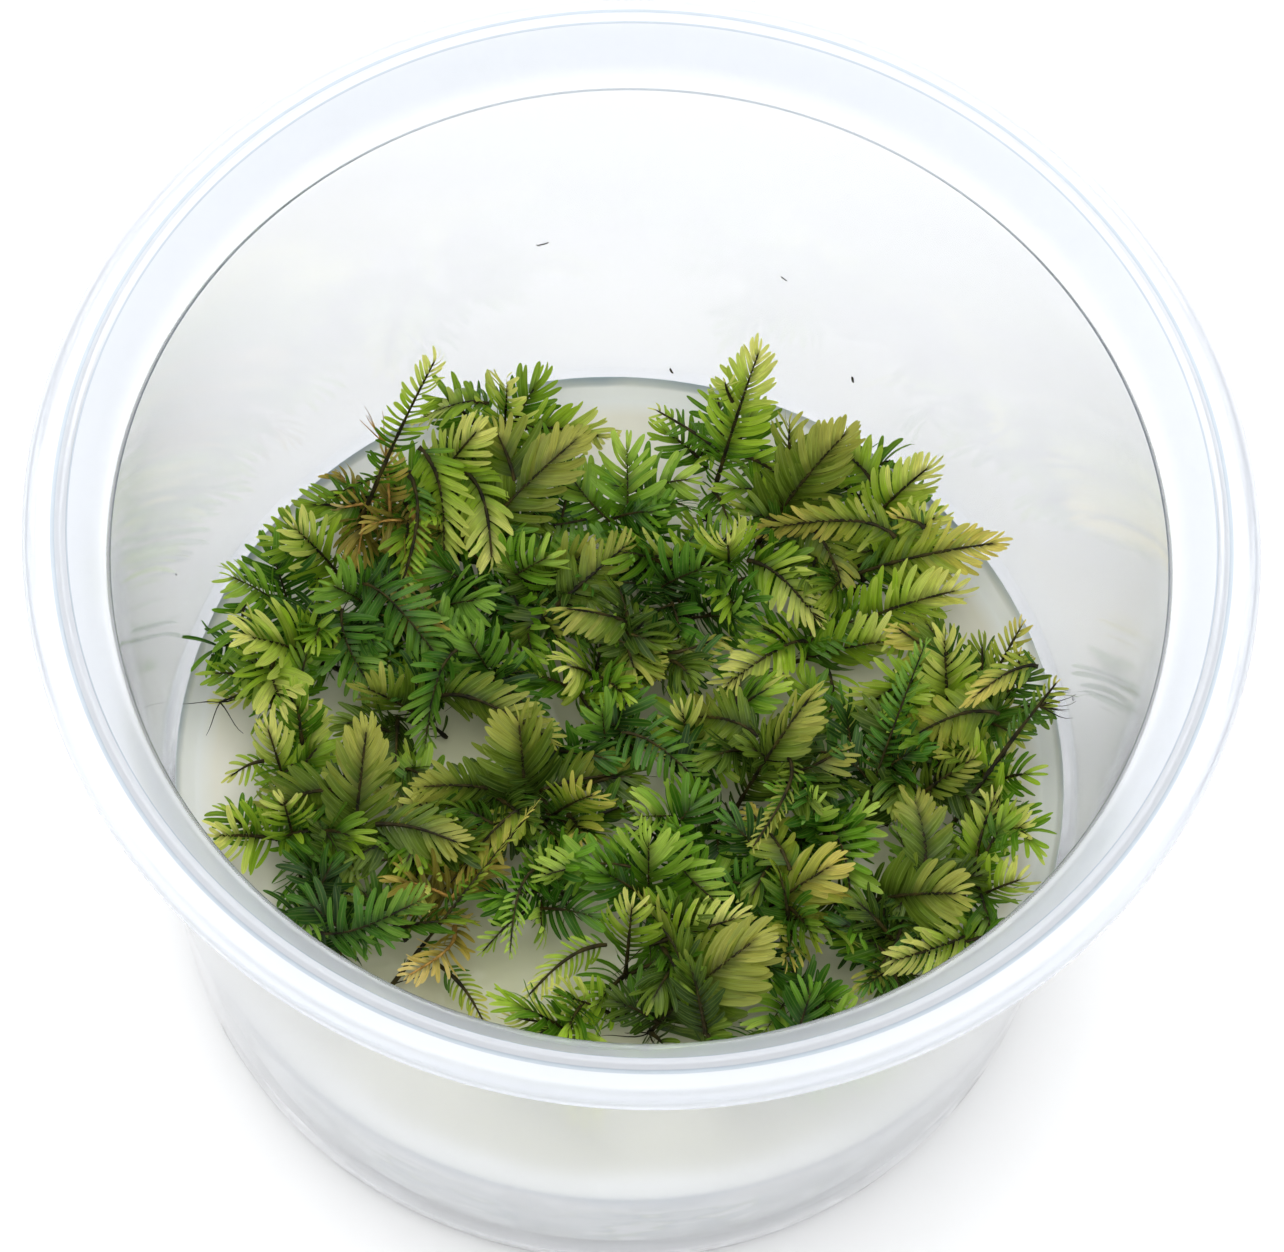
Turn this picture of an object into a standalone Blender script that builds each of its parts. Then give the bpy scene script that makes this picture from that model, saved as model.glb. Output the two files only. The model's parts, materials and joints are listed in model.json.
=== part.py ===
"""A tissue culture cup of Fissidens nobilis.

An open clear cup with a snap rim holds a disc of agar gel. Sprigs of the moss
stand on the gel. Each sprig is one grown piece: a main frond with its leaves,
and often a few side fronds that branch from its stem.

Metres, +Z up. The origin is the middle of the cup's underside.
"""
import math
from collections import namedtuple

import bmesh
import bpy
from mathutils import Matrix, Vector
from mathutils.bvhtree import BVHTree

MM = 0.001
UP = Vector((0, 0, 1))

# Cup
RIM_DIAMETER = 100.0 * MM
CUP_HEIGHT = 70.4 * MM
SHOULDER_HEIGHT = 64.6 * MM
SHOULDER_RADIUS = 43.0 * MM
SHOULDER_LEDGE = 0.25 * MM
LIP_RADIUS = 46.5 * MM
BASE_RADIUS = 38.8 * MM
BASE_CORNER = 4.5 * MM
WALL = 0.9 * MM
FLOOR = 1.0 * MM
SKIRT_HEIGHT = 2.1 * MM
SKIRT_WALL = 0.8 * MM
SKIRT_ROOT = 1.2 * MM
SKIRT_DRAFT = 0.1 * MM
RIM_THICKNESS = 1.35 * MM
RIM_BEVEL = 1.0 * MM
LIP_ROUNDING = 0.2 * MM
LIP_CREST = 0.3 * MM
GROOVE_DEPTH = 0.4 * MM
GROOVE_EDGE = 0.9 * MM
LEDGE_RISE = 0.1 * MM
TURN_STEPS = 40
CORNER_STEPS = 3
SHARP_ANGLE = math.radians(35)
MERGE_DISTANCE = 0.001 * MM

# Gel
GEL_TOP = 19.0 * MM
MENISCUS_RISE = 0.4 * MM
MENISCUS_WIDTH = 1.2 * MM
GAP = 0.3 * MM
LEAST_GAP = 0.9 * GAP
CORNER_GAP = 3 * GAP
WALL_GAP = 2 * GAP

# Fronds
STEM_HALF_WIDTH = 0.45 * MM
STEM_KEEL = 0.8 * MM
LEAF_PITCH = 2.9 * MM
FEWEST_PAIRS = 3
BARE_STEPS = 2
LOW_LEAF_ANGLE = math.radians(62)
HIGH_LEAF_ANGLE = math.radians(30)
LEAF_DROOP = 0.10
FACE = Vector((0, -0.40, 0.92)).normalized()
LEAST_FACE = 0.15
BEND_PLACE = 0.42

# A leaf's length over the blade: its least share of the full length, how much it
# swells towards the middle, and the part of a sine's hump that the blade spans.
LEAF_LEAST = 0.75
LEAF_SWELL = 0.45
SWELL_START = 0.12
SWELL_SPAN = 0.72
APEX_LEAF = 0.9

# Side fronds: how far they lean the way of the leaf whose place they take, the
# leafless share of their stem, and where on that share their first ring sits.
SHOOT_LEAN = 0.4
SHOOT_BARE = 0.3
FIRST_RING = 0.75
SOCKETS_TRIED = 2

# Side fronds that fill in round the foot of a sprig
FILL_LENGTH = 9.0 * MM
FILL_RISE = 5.0 * MM
FILL_WIDTH = 6.5 * MM
FILL_HEADINGS = (70, -70, 120, -120, 165)
FILL_PER_SPRIG = 2

Shoot = namedtuple("Shoot", "tip rise width", defaults=(6.0,))
Sprig = namedtuple(
    "Sprig",
    "foot tip rise width tint bare turn arch shoots",
    defaults=("green", 0.20, 0, 0.18, ()),
)

# Foot and tip are places on the plan, rise is the tip's height over the gel,
# width is across the leaves, all in millimetres. Bare is the leafless share of
# the stem, turn rolls the blade in degrees, arch bows the stem upwards.
SPRIGS = {
    "back_left": (
        Sprig((-26, 18), (-19.5, 29), 19, 5.5, "bright", bare=0.40),
        Sprig((-22, 19.5), (-24, 25), 15, 5.0, "amber", bare=0.25),
        Sprig((-20.5, 22.5), (-15.5, 25), 14, 7.0, "bright", bare=0.3),
        Sprig((-13, 27.5), (-13, 30), 14, 7.5, "bright", bare=0.35),
        Sprig((-17.5, 17), (-7, 26), 12, 9.0, "olive", shoots=(Shoot((-13.5, 25.5), 12, 8.5),)),
        Sprig((-25, 15), (-30, 17), 8, 7.5, "bright"),
        Sprig((-22, 12.5), (-26, 11), 10, 8.5, "deep"),
        Sprig((-19.5, 13), (-14, 11.5), 9, 8.0, "deep"),
        Sprig((-29.5, 12), (-35, 11.5), 6, 6.5, "green"),
        Sprig((-25.5, 7.5), (-33, 6), 9, 9.0, "bright",
              shoots=(Shoot((-30, 1), 8, 8.0), Shoot((-35, 2), 4, 5.0))),
        Sprig((-14.5, 14.5), (-8.5, 16), 9, 7.5, "green"),
    ),
    "back": (
        Sprig((-1, 19), (-2, 27), 9, 8.0, "green",
              shoots=(Shoot((-6.5, 25), 7, 7.5), Shoot((3, 25.5), 8, 7.5))),
        Sprig((5.5, 25.5), (8.5, 33), 18, 7.0, "bright", bare=0.3,
              shoots=(Shoot((6, 31), 15, 4.5), Shoot((0.5, 31), 10, 4.0))),
        Sprig((10, 23), (16.5, 28), 14, 8.5, "olive", shoots=(Shoot((12, 29.5), 12, 6.0),)),
        Sprig((8, 19.5), (7.5, 17.5), 12, 8.0, "bright", turn=10),
        Sprig((0, 16.5), (5, 17.5), 8, 8.0, "deep"),
        Sprig((4.5, 15.5), (9, 13), 7, 8.0, "deep"),
        Sprig((-1.5, 14), (-1.5, 7), 8, 8.5, "olive",
              shoots=(Shoot((2, 8), 6, 6.0), Shoot((-5.5, 11.5), 6, 7.0))),
        Sprig((-10.5, 16.5), (-6.5, 10), 6, 6.0, "olive", shoots=(Shoot((-5, 18), 7, 7.0),)),
    ),
    "back_right": (
        Sprig((18, 23.5), (24, 26.5), 12, 7.0, "bright"),
        Sprig((19, 19.5), (25, 22.5), 12, 7.5, "bright"),
        Sprig((15, 19), (30, 19.5), 13, 7.0, "amber_tip", bare=0.45),
        Sprig((16.5, 14.5), (27, 15.5), 11, 8.0, "bright", bare=0.25),
        Sprig((13, 11.5), (21.5, 12.5), 6, 8.0, "bright", shoots=(Shoot((9, 8), 5, 7.0),)),
    ),
    "centre": (
        Sprig((-2.5, 8.5), (-5, 5.5), 10, 7.5, "bright", shoots=(Shoot((2, 8), 6, 6.0),)),
        Sprig((-15.5, 2), (-22, 2), 9, 7.5, "olive"),
        Sprig((-10, 4.5), (-14, 7), 10, 8.0, "deep", shoots=(Shoot((-17, 10.5), 7, 7.0),)),
        Sprig((-1, -1), (-2, 1.5), 9, 8.0, "deep"),
        Sprig((-7.5, -7), (-9, -1), 10, 9.5, "olive"),
        Sprig((-6.5, -5.5), (-2.5, -6.5), 10, 7.0, "amber_tip", shoots=(Shoot((-3, -8.5), 6, 6.5),)),
        Sprig((6, 1.5), (5, 3.5), 6, 7.0, "bright"),
        Sprig((9, -4), (2.5, -7), 8, 8.0, "green"),
        Sprig((10, -3), (15.5, 3.5), 12, 7.5, "olive",
              shoots=(Shoot((18.5, 1), 7, 6.5), Shoot((12, -9.5), 7, 3.5))),
    ),
    "right": (
        Sprig((28.5, 4), (27, 11), 10, 7.0, "bright", shoots=(Shoot((24, 8.5), 6, 6.0),)),
        Sprig((29.5, 6), (33.5, 13.5), 9, 5.0, "amber_tip", shoots=(Shoot((33.5, 10), 8, 4.5),)),
        Sprig((27.5, -5.5), (36.5, 6.5), 13, 4.5, "amber_tip", bare=0.65),
        Sprig((21, -3.5), (25, 8.5), 14, 5.0, "deep"),
        Sprig((29.5, -4), (34.5, -4.5), 7, 7.5, "bright"),
        Sprig((23.5, -2.5), (30, 1), 8, 5.0, "olive", shoots=(Shoot((26.5, 4), 7, 4.5),)),
        Sprig((16, -6.5), (17, -4.5), 7, 7.5, "green", shoots=(Shoot((21, -5), 7, 7.0),)),
    ),
    "front_right": (
        Sprig((21, -10.5), (29, -12), 9, 8.5, "olive", bare=0.3),
        Sprig((30, -10), (35.5, -9.5), 5, 7.0, "bright"),
        Sprig((19, -13.5), (30.5, -15.5), 4, 5.0, "deep", shoots=(Shoot((27.5, -18.5), 4, 5.0),)),
        Sprig((12, -13.5), (18, -11), 9, 9.0, "amber_tip", shoots=(Shoot((15.5, -18), 5, 6.5),)),
        Sprig((17.5, -17.5), (14.5, -24), 6, 7.5, "green", shoots=(Shoot((21.5, -23), 6, 7.0),)),
        Sprig((9, -14.5), (11.5, -15.5), 6, 6.0, "deep"),
    ),
    "front": (
        Sprig((3.5, -14), (3, -10.5), 9, 9.5, "green"),
        Sprig((2, -19), (2, -16), 8, 6.5, "bright"),
        Sprig((4.5, -24), (12, -19), 10, 11.0, "olive", bare=0.1),
        Sprig((2, -23), (-3, -23.5), 6, 8.0, "bright", shoots=(Shoot((-7, -25), 4, 5.0),)),
        Sprig((-3.5, -13), (-5.5, -12), 7, 7.5, "green",
              shoots=(Shoot((-5.5, -17), 5, 6.0), Shoot((-8, -20), 4, 5.5))),
    ),
    "front_left": (
        Sprig((-18, -22), (-5.5, -9.5), 10, 3.5, "amber_tip", bare=0.1, arch=0.05),
        Sprig((-17, -15), (-10.5, -17), 4, 7.5, "amber"),
        Sprig((-22.5, -13.5), (-22, -4.5), 13, 9.5, "olive", bare=0.3),
        Sprig((-28, -7), (-30.5, -2.5), 8, 6.0, "bright", shoots=(Shoot((-27.5, 0), 8, 7.0),)),
        Sprig((-27, -11.5), (-28.5, -9), 8, 6.0, "bright", shoots=(Shoot((-33.5, -12), 7, 7.0),)),
        Sprig((-25, -14), (-25, -19), 7, 7.0, "deep", shoots=(Shoot((-20.5, -20), 5, 5.0),)),
        Sprig((-12.5, -7), (-17, -7), 6, 7.5, "bright", shoots=(Shoot((-14.5, -10), 6, 6.5),)),
    ),
}

# Order in which sprigs take their places: those that stand out most go first.
STAND_OUT_WIDTH = 8.0
STAND_OUT_RISE = 12.0

# Small changes that a sprig tries, the least first, where it would touch one that
# stands already: heading and roll of the blade in degrees, tip lift in millimetres
# and size. Each counts in steps of the size given here.
HEADING_STEP = 7
LIFT_STEP = 1.5
ROLL_STEP = 20
SHRINK_STEP = 1 / 12
NUDGES = sorted(
    (
        (heading, lift, roll, size)
        for size in (1.0, 0.85, 0.7)
        for heading in (0, 7, -7, 14, -14, 22, -22)
        for lift in (0, 1.5, -1.5, 3.0)
        for roll in (0, 20, -20, 40, -40)
    ),
    key=lambda n: (
        abs(n[0]) / HEADING_STEP + abs(n[1]) / LIFT_STEP + abs(n[2]) / ROLL_STEP
        + (1 - n[3]) / SHRINK_STEP
    ),
)
SHOOT_NUDGES = NUDGES[:90]

COLOURS = {
    "cup": (0.86, 0.88, 0.90),
    "gel": (0.80, 0.78, 0.68),
    "leaf_bright": (0.33, 0.46, 0.06),
    "leaf_green": (0.14, 0.30, 0.04),
    "leaf_deep": (0.06, 0.17, 0.05),
    "leaf_olive": (0.19, 0.21, 0.04),
    "leaf_amber": (0.48, 0.31, 0.06),
    "leaf_amber_tip": (0.36, 0.36, 0.06),
}
ROUGHNESS = {"cup": 0.25, "gel": 0.15}
LEAF_ROUGHNESS = 0.5


def clear_objects():
    for old in list(bpy.data.objects):
        bpy.data.objects.remove(old, do_unlink=True)


def material(name):
    made = bpy.data.materials.new(name)
    made.use_nodes = True
    shader = made.node_tree.nodes["Principled BSDF"]
    shader.inputs["Base Color"].default_value = (*COLOURS[name], 1.0)
    shader.inputs["Roughness"].default_value = ROUGHNESS.get(name, LEAF_ROUGHNESS)
    shader.inputs["Metallic"].default_value = 0.0
    return made


def add_object(name, mesh, finish):
    mesh.materials.append(finish)
    made = bpy.data.objects.new(name, mesh)
    bpy.context.scene.collection.objects.link(made)
    return made


def arc(centre, radius, start, end, steps):
    """Points of an arc in the (radius, height) plane, angles in degrees."""
    points = []
    for i in range(steps + 1):
        angle = math.radians(start + (end - start) * i / steps)
        points.append((centre[0] + radius * math.cos(angle), centre[1] + radius * math.sin(angle)))
    return points


def turned(name, profile):
    """A closed solid turned round Z from a profile that starts and ends on the axis."""
    bm = bmesh.new()
    verts = [bm.verts.new((r, 0, z)) for r, z in profile]
    edges = [bm.edges.new(pair) for pair in zip(verts, verts[1:])]
    bmesh.ops.spin(
        bm,
        geom=verts + edges,
        cent=(0, 0, 0),
        axis=(0, 0, 1),
        angle=math.tau,
        steps=TURN_STEPS,
        use_duplicate=False,
    )
    bmesh.ops.remove_doubles(bm, verts=bm.verts, dist=MERGE_DISTANCE)
    bmesh.ops.recalc_face_normals(bm, faces=bm.faces)
    mesh = bpy.data.meshes.new(name)
    bm.to_mesh(mesh)
    bm.free()
    mesh.shade_smooth()
    mesh.set_sharp_from_angle(angle=SHARP_ANGLE)
    return mesh


def inner_corner_radius():
    return BASE_CORNER - WALL


def inner_wall_radius(height):
    """Inner radius of the tapered wall at a height over the underside."""
    low = FLOOR + inner_corner_radius()
    share = (height - low) / (SHOULDER_HEIGHT - low)
    return BASE_RADIUS - WALL + (SHOULDER_RADIUS - SHOULDER_LEDGE - BASE_RADIUS + WALL) * share


def cup_profile():
    """Half section of the cup: under the floor, up outside, over the rim, down inside."""
    outer_rim = RIM_DIAMETER / 2
    skirt_foot = CUP_HEIGHT - SKIRT_HEIGHT
    foot_radius = BASE_RADIUS - BASE_CORNER
    outside = [(0, 0)]
    outside += arc((foot_radius, BASE_CORNER), BASE_CORNER, -90, 0, CORNER_STEPS)
    outside += [
        (SHOULDER_RADIUS + WALL, SHOULDER_HEIGHT - WALL),
        (LIP_RADIUS + WALL / 2, CUP_HEIGHT - RIM_THICKNESS),
        (outer_rim - SKIRT_ROOT, CUP_HEIGHT - RIM_THICKNESS),
        (outer_rim - SKIRT_WALL, skirt_foot),
    ]
    rim = [
        (outer_rim, skirt_foot),
        (outer_rim - SKIRT_DRAFT, CUP_HEIGHT - WALL),
        (outer_rim - RIM_BEVEL, CUP_HEIGHT - SKIRT_DRAFT),
        (LIP_RADIUS + GROOVE_EDGE, CUP_HEIGHT - GROOVE_DEPTH),
        (LIP_RADIUS + LIP_CREST, CUP_HEIGHT),
        (LIP_RADIUS - LIP_ROUNDING, CUP_HEIGHT - LIP_ROUNDING),
    ]
    corner = inner_corner_radius()
    inside = [
        (SHOULDER_RADIUS, SHOULDER_HEIGHT + LEDGE_RISE),
        (SHOULDER_RADIUS - SHOULDER_LEDGE, SHOULDER_HEIGHT),
    ]
    inside += arc((foot_radius, FLOOR + corner), corner, 0, -90, CORNER_STEPS)
    inside += [(0, FLOOR)]
    return outside + rim + inside


def gel_profile():
    """Half section of the gel disc, with its edge drawn up a little along the wall."""
    low = FLOOR + GAP
    corner_top = FLOOR + inner_corner_radius()
    edge_height = GEL_TOP + MENISCUS_RISE
    edge = inner_wall_radius(edge_height) - GAP
    return [
        (0, low),
        (BASE_RADIUS - BASE_CORNER - GAP, low),
        (inner_wall_radius(corner_top) - CORNER_GAP, corner_top - GAP),
        (edge, edge_height),
        (edge - MENISCUS_WIDTH, GEL_TOP),
        (0, GEL_TOP),
    ]


def bow(foot, control, tip, share):
    """Point and direction on a bowed stem, share 0 at the foot and 1 at the tip."""
    rest = 1 - share
    point = foot * rest * rest + control * 2 * rest * share + tip * share * share
    direction = (control - foot) * rest + (tip - control) * share
    return point, direction.normalized()


def stem_ring(point, direction, turn):
    """Left edge, keel and right edge of the stem, with the blade's axes."""
    face = FACE - direction * FACE.dot(direction)
    if face.length < LEAST_FACE:
        face = Vector((0, -1, 0)) - direction * -direction.y
    face.normalize()
    face.rotate(Matrix.Rotation(math.radians(turn), 3, direction))
    side = direction.cross(face).normalized()
    corners = (
        point - side * STEM_HALF_WIDTH,
        point - face * STEM_KEEL,
        point + side * STEM_HALF_WIDTH,
    )
    return corners, side, face


def leaf_length(width, share):
    """Leaves are shorter at the foot of the blade and again at its tip."""
    full = width / 2 / math.sin(LOW_LEAF_ANGLE)
    swell = math.sin(math.pi * (SWELL_START + SWELL_SPAN * share))
    return full * (LEAF_LEAST + LEAF_SWELL * swell)


class Growth:
    """Vertices and triangles of one sprig while it grows."""

    def __init__(self, points=(), triangles=()):
        self.points = list(points)
        self.triangles = list(triangles)
        self.sockets = []

    def copy(self):
        twin = Growth(self.points, self.triangles)
        twin.sockets = list(self.sockets)
        return twin

    def add(self, point):
        self.points.append(point.copy())
        return len(self.points) - 1

    def sleeve(self, low, high):
        """Close the three sides of the stem between two rings."""
        for i in range(3):
            j = (i + 1) % 3
            self.triangles.append((low[i], low[j], high[j]))
            self.triangles.append((low[i], high[j], high[i]))

    def spike(self, root, tip):
        """A leaf: three long faces from its root triangle to its tip."""
        end = self.add(tip)
        for i in range(3):
            self.triangles.append((root[i], root[(i + 1) % 3], end))

    def leafy_step(self, low, high, left_tip, right_tip):
        left, keel, right = low
        next_left, next_keel, next_right = high
        self.triangles.append((right, left, next_left))
        self.triangles.append((right, next_left, next_right))
        self.triangles.append((left, next_keel, keel))
        self.triangles.append((keel, next_keel, right))
        self.sockets.append(((left, next_left, next_keel), left_tip))
        self.sockets.append(((right, next_keel, next_right), right_tip))

    def close_leaves(self):
        """Grow a leaf on every socket that no side frond has taken."""
        for root, tip in self.sockets:
            self.spike(root, tip)
        self.sockets = []


def matched_ring(growth, socket, ring):
    """Order a new ring so that the sleeve from the socket to it isn't twisted."""
    low = [growth.points[i] for i in socket]
    high = [growth.points[i] for i in ring]
    way = sum(high, Vector()) / 3 - sum(low, Vector()) / 3
    low_turn = (low[1] - low[0]).cross(low[2] - low[0]).dot(way)
    high_turn = (high[1] - high[0]).cross(high[2] - high[0]).dot(way)
    order = list(socket) if low_turn * high_turn > 0 else list(reversed(socket))
    turns = [order[i:] + order[:i] for i in range(3)]

    def stretch(turn):
        return sum((growth.points[a] - growth.points[b]).length for a, b in zip(turn, ring))

    return min(turns, key=stretch)


def grow_frond(growth, foot, control, tip, width, bare, turn, socket=None):
    """Add a frond along a bowed stem, from the ground or from a socket of its parent."""
    blade = (tip - foot).length * (1 - bare)
    pairs = max(FEWEST_PAIRS, round(blade / LEAF_PITCH))
    shares = [bare * i / BARE_STEPS for i in range(BARE_STEPS)]
    shares += [bare + (1 - bare) * i / pairs for i in range(pairs + 1)]
    if socket:
        shares = [bare * FIRST_RING] + shares[BARE_STEPS:]
    frames = []
    for share in shares:
        point, direction = bow(foot, control, tip, share)
        corners, side, face = stem_ring(point, direction, turn)
        ring = tuple(growth.add(corner) for corner in corners)
        frames.append((ring, point, direction, side, face))
    if socket:
        growth.sleeve(matched_ring(growth, socket, frames[0][0]), frames[0][0])
    else:
        growth.triangles.append(frames[0][0])
    first_leafy = len(frames) - 1 - pairs
    for low, high in zip(frames[:first_leafy], frames[1:first_leafy + 1]):
        growth.sleeve(low[0], high[0])
    for i in range(pairs):
        low, high = frames[first_leafy + i], frames[first_leafy + i + 1]
        share = (i + 0.5) / pairs
        angle = LOW_LEAF_ANGLE + (HIGH_LEAF_ANGLE - LOW_LEAF_ANGLE) * share
        length = leaf_length(width, share)
        middle = (low[1] + high[1]) / 2
        along = low[2] * math.cos(angle) - low[4] * LEAF_DROOP
        across = low[3] * math.sin(angle)
        reach = (along - across) * length, (along + across) * length
        growth.leafy_step(low[0], high[0], middle + reach[0], middle + reach[1])
    end = frames[-1]
    growth.spike(end[0], end[1] + end[2] * leaf_length(width, 1.0) * APEX_LEAF)


def plan_point(place, height):
    return Vector((place[0] * MM, place[1] * MM, GEL_TOP + height * MM))


def control_point(foot, tip, arch):
    return foot.lerp(tip, BEND_PLACE) + UP * arch * (tip - foot).length


def nudged_tip(foot, tip, nudge):
    """Turn the tip round its foot, lift it and draw it in."""
    heading, lift, _, size = nudge
    reach = (tip - foot) * size
    reach.rotate(Matrix.Rotation(math.radians(heading), 3, "Z"))
    return foot + reach + UP * lift * MM


def grow_main(sprig, nudge):
    """The main frond of a sprig, its lowest corner just over the gel."""
    growth = Growth()
    foot = plan_point(sprig.foot, 0) + UP * GAP
    tip = nudged_tip(foot, plan_point(sprig.tip, sprig.rise), nudge)
    control = control_point(foot, tip, sprig.arch)
    turn = sprig.turn + nudge[2]
    corners, _, _ = stem_ring(foot, (control - foot).normalized(), turn)
    foot.z += foot.z - min(corner.z for corner in corners)
    grow_frond(growth, foot, control, tip, sprig.width * MM * nudge[3], sprig.bare, turn)
    return growth


def grow_shoot(growth, socket_index, shoot_tip, width, nudge):
    """A side frond that grows from one of the parent's leaf sockets."""
    grown = growth.copy()
    root, leaf_tip = grown.sockets.pop(socket_index)
    foot = sum((grown.points[i] for i in root), Vector()) / 3
    tip = nudged_tip(foot, shoot_tip, nudge)
    outwards = (leaf_tip - foot).normalized()
    control = foot + outwards * (tip - foot).length * SHOOT_LEAN
    grow_frond(grown, foot, control, tip, width * nudge[3], SHOOT_BARE, nudge[2], socket=root)
    return grown


def tree_of(growth):
    return BVHTree.FromPolygons(growth.points, growth.triangles)


def crosses_itself(growth):
    tree = tree_of(growth)
    for a, b in tree.overlap(tree):
        if a < b and not set(growth.triangles[a]) & set(growth.triangles[b]):
            return True
    return False


def inside_cup(growth):
    """True where every point keeps its gap to the wall, the gel and the gel's raised edge."""
    facet = math.cos(math.pi / TURN_STEPS)
    for point in growth.points:
        reach = math.hypot(point.x, point.y)
        limit = inner_wall_radius(point.z) * facet - WALL_GAP
        over_edge = reach > limit - MENISCUS_WIDTH
        floor = GEL_TOP + LEAST_GAP + (MENISCUS_RISE if over_edge else 0)
        if reach > limit or point.z < floor:
            return False
    return True


def box_of(growth):
    low = Vector(min(p[i] for p in growth.points) for i in range(3))
    high = Vector(max(p[i] for p in growth.points) for i in range(3))
    return low, high


def boxes_meet(a, b):
    return all(a[0][i] <= b[1][i] and b[0][i] <= a[1][i] for i in range(3))


def finished(growth):
    whole = growth.copy()
    whole.close_leaves()
    return whole


def stands_free(growth, placed):
    """True where a sprig fits in the cup and touches nothing, itself included."""
    whole = finished(growth)
    if not inside_cup(whole) or crosses_itself(whole):
        return False
    box = box_of(whole)
    tree = None
    for other_box, other_tree in placed:
        if boxes_meet(box, other_box):
            tree = tree or tree_of(whole)
            if tree.overlap(other_tree):
                return False
    return True


def place_main(sprig, placed):
    for nudge in NUDGES:
        growth = grow_main(sprig, nudge)
        if stands_free(growth, placed):
            return growth
    return None


def nearest_sockets(growth, tip):
    """Sockets in the lower half of the stem, the best turned towards the tip first."""
    def turned_away(index):
        root, leaf_tip = growth.sockets[index]
        foot = sum((growth.points[i] for i in root), Vector()) / 3
        return -(leaf_tip - foot).normalized().dot((tip - foot).normalized())
    half = max(SOCKETS_TRIED, len(growth.sockets) // 2)
    return sorted(range(half), key=turned_away)[:SOCKETS_TRIED]


def place_shoot(growth, tip, width, placed):
    for nudge in SHOOT_NUDGES:
        for socket in nearest_sockets(growth, tip):
            grown = grow_shoot(growth, socket, tip, width, nudge)
            if stands_free(grown, placed):
                return grown
    return growth


def fill_tips(sprig):
    """Tips of low side fronds that spread round the sprig's foot."""
    foot = plan_point(sprig.foot, 0)
    heading = plan_point(sprig.tip, 0) - foot
    heading = heading.normalized() if heading.length > MM else Vector((0, -1, 0))
    for degrees in FILL_HEADINGS:
        way = heading.copy()
        way.rotate(Matrix.Rotation(math.radians(degrees), 3, "Z"))
        yield foot + way * FILL_LENGTH + UP * FILL_RISE


def sprig_mesh(name, growth):
    mesh = bpy.data.meshes.new(name)
    mesh.from_pydata([tuple(p) for p in growth.points], [], growth.triangles)
    bm = bmesh.new()
    bm.from_mesh(mesh)
    bmesh.ops.recalc_face_normals(bm, faces=bm.faces)
    bm.to_mesh(mesh)
    bm.free()
    return mesh


def named_sprigs():
    for region, sprigs in SPRIGS.items():
        for i, sprig in enumerate(sprigs, start=1):
            yield f"sprig_{region}_{i}", sprig


def prominence(item):
    sprig = item[1]
    return -(sprig.width / STAND_OUT_WIDTH + sprig.rise / STAND_OUT_RISE)


def plant_sprigs(finishes):
    order = sorted(named_sprigs(), key=prominence)
    grown = {}
    placed = {}
    for name, sprig in order:
        growth = place_main(sprig, list(placed.values()))
        if growth is None:
            print("no room for", name)
            continue
        grown[name] = growth
        placed[name] = (box_of(finished(growth)), tree_of(finished(growth)))

    def add_shoots(name, tips, most):
        others = [where for other, where in placed.items() if other != name]
        added = 0
        for tip, width in tips:
            if added == most:
                break
            bigger = place_shoot(grown[name], tip, width, others)
            if bigger is not grown[name]:
                grown[name] = bigger
                added += 1
        whole = finished(grown[name])
        placed[name] = (box_of(whole), tree_of(whole))
        return added

    for name, sprig in order:
        if name in grown:
            wanted = [(plan_point(s.tip, s.rise), s.width * MM) for s in sprig.shoots]
            add_shoots(name, wanted, len(wanted))
    for name, sprig in order:
        if name in grown:
            fills = FILL_PER_SPRIG - min(1, len(sprig.shoots))
            add_shoots(name, [(tip, FILL_WIDTH) for tip in fill_tips(sprig)], fills)
    for name, sprig in named_sprigs():
        if name in grown:
            add_object(name, sprig_mesh(name, finished(grown[name])), finishes["leaf_" + sprig.tint])


def build():
    clear_objects()
    finishes = {name: material(name) for name in COLOURS}
    add_object("cup", turned("cup", cup_profile()), finishes["cup"])
    add_object("gel", turned("gel", gel_profile()), finishes["gel"])
    plant_sprigs(finishes)


build()
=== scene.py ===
# %% [markdown]
# # A tissue culture cup of Fissidens nobilis
# The real object is three things in one another: a thin clear cup, a disc of agar
# gel that was poured into it, and a moss that was planted on the gel. The solid
# model gives the size and place of all three. This file gives them their looks:
# a smoothly turned cup, a wet gel, and moss whose fronds carry every single leaf.

import json
import random
from math import asin, ceil, cos, degrees, hypot, pi, radians, sin, tan, tau

import bmesh
import bpy
import numpy as np
from mathutils import Matrix, Vector, noise

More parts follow.
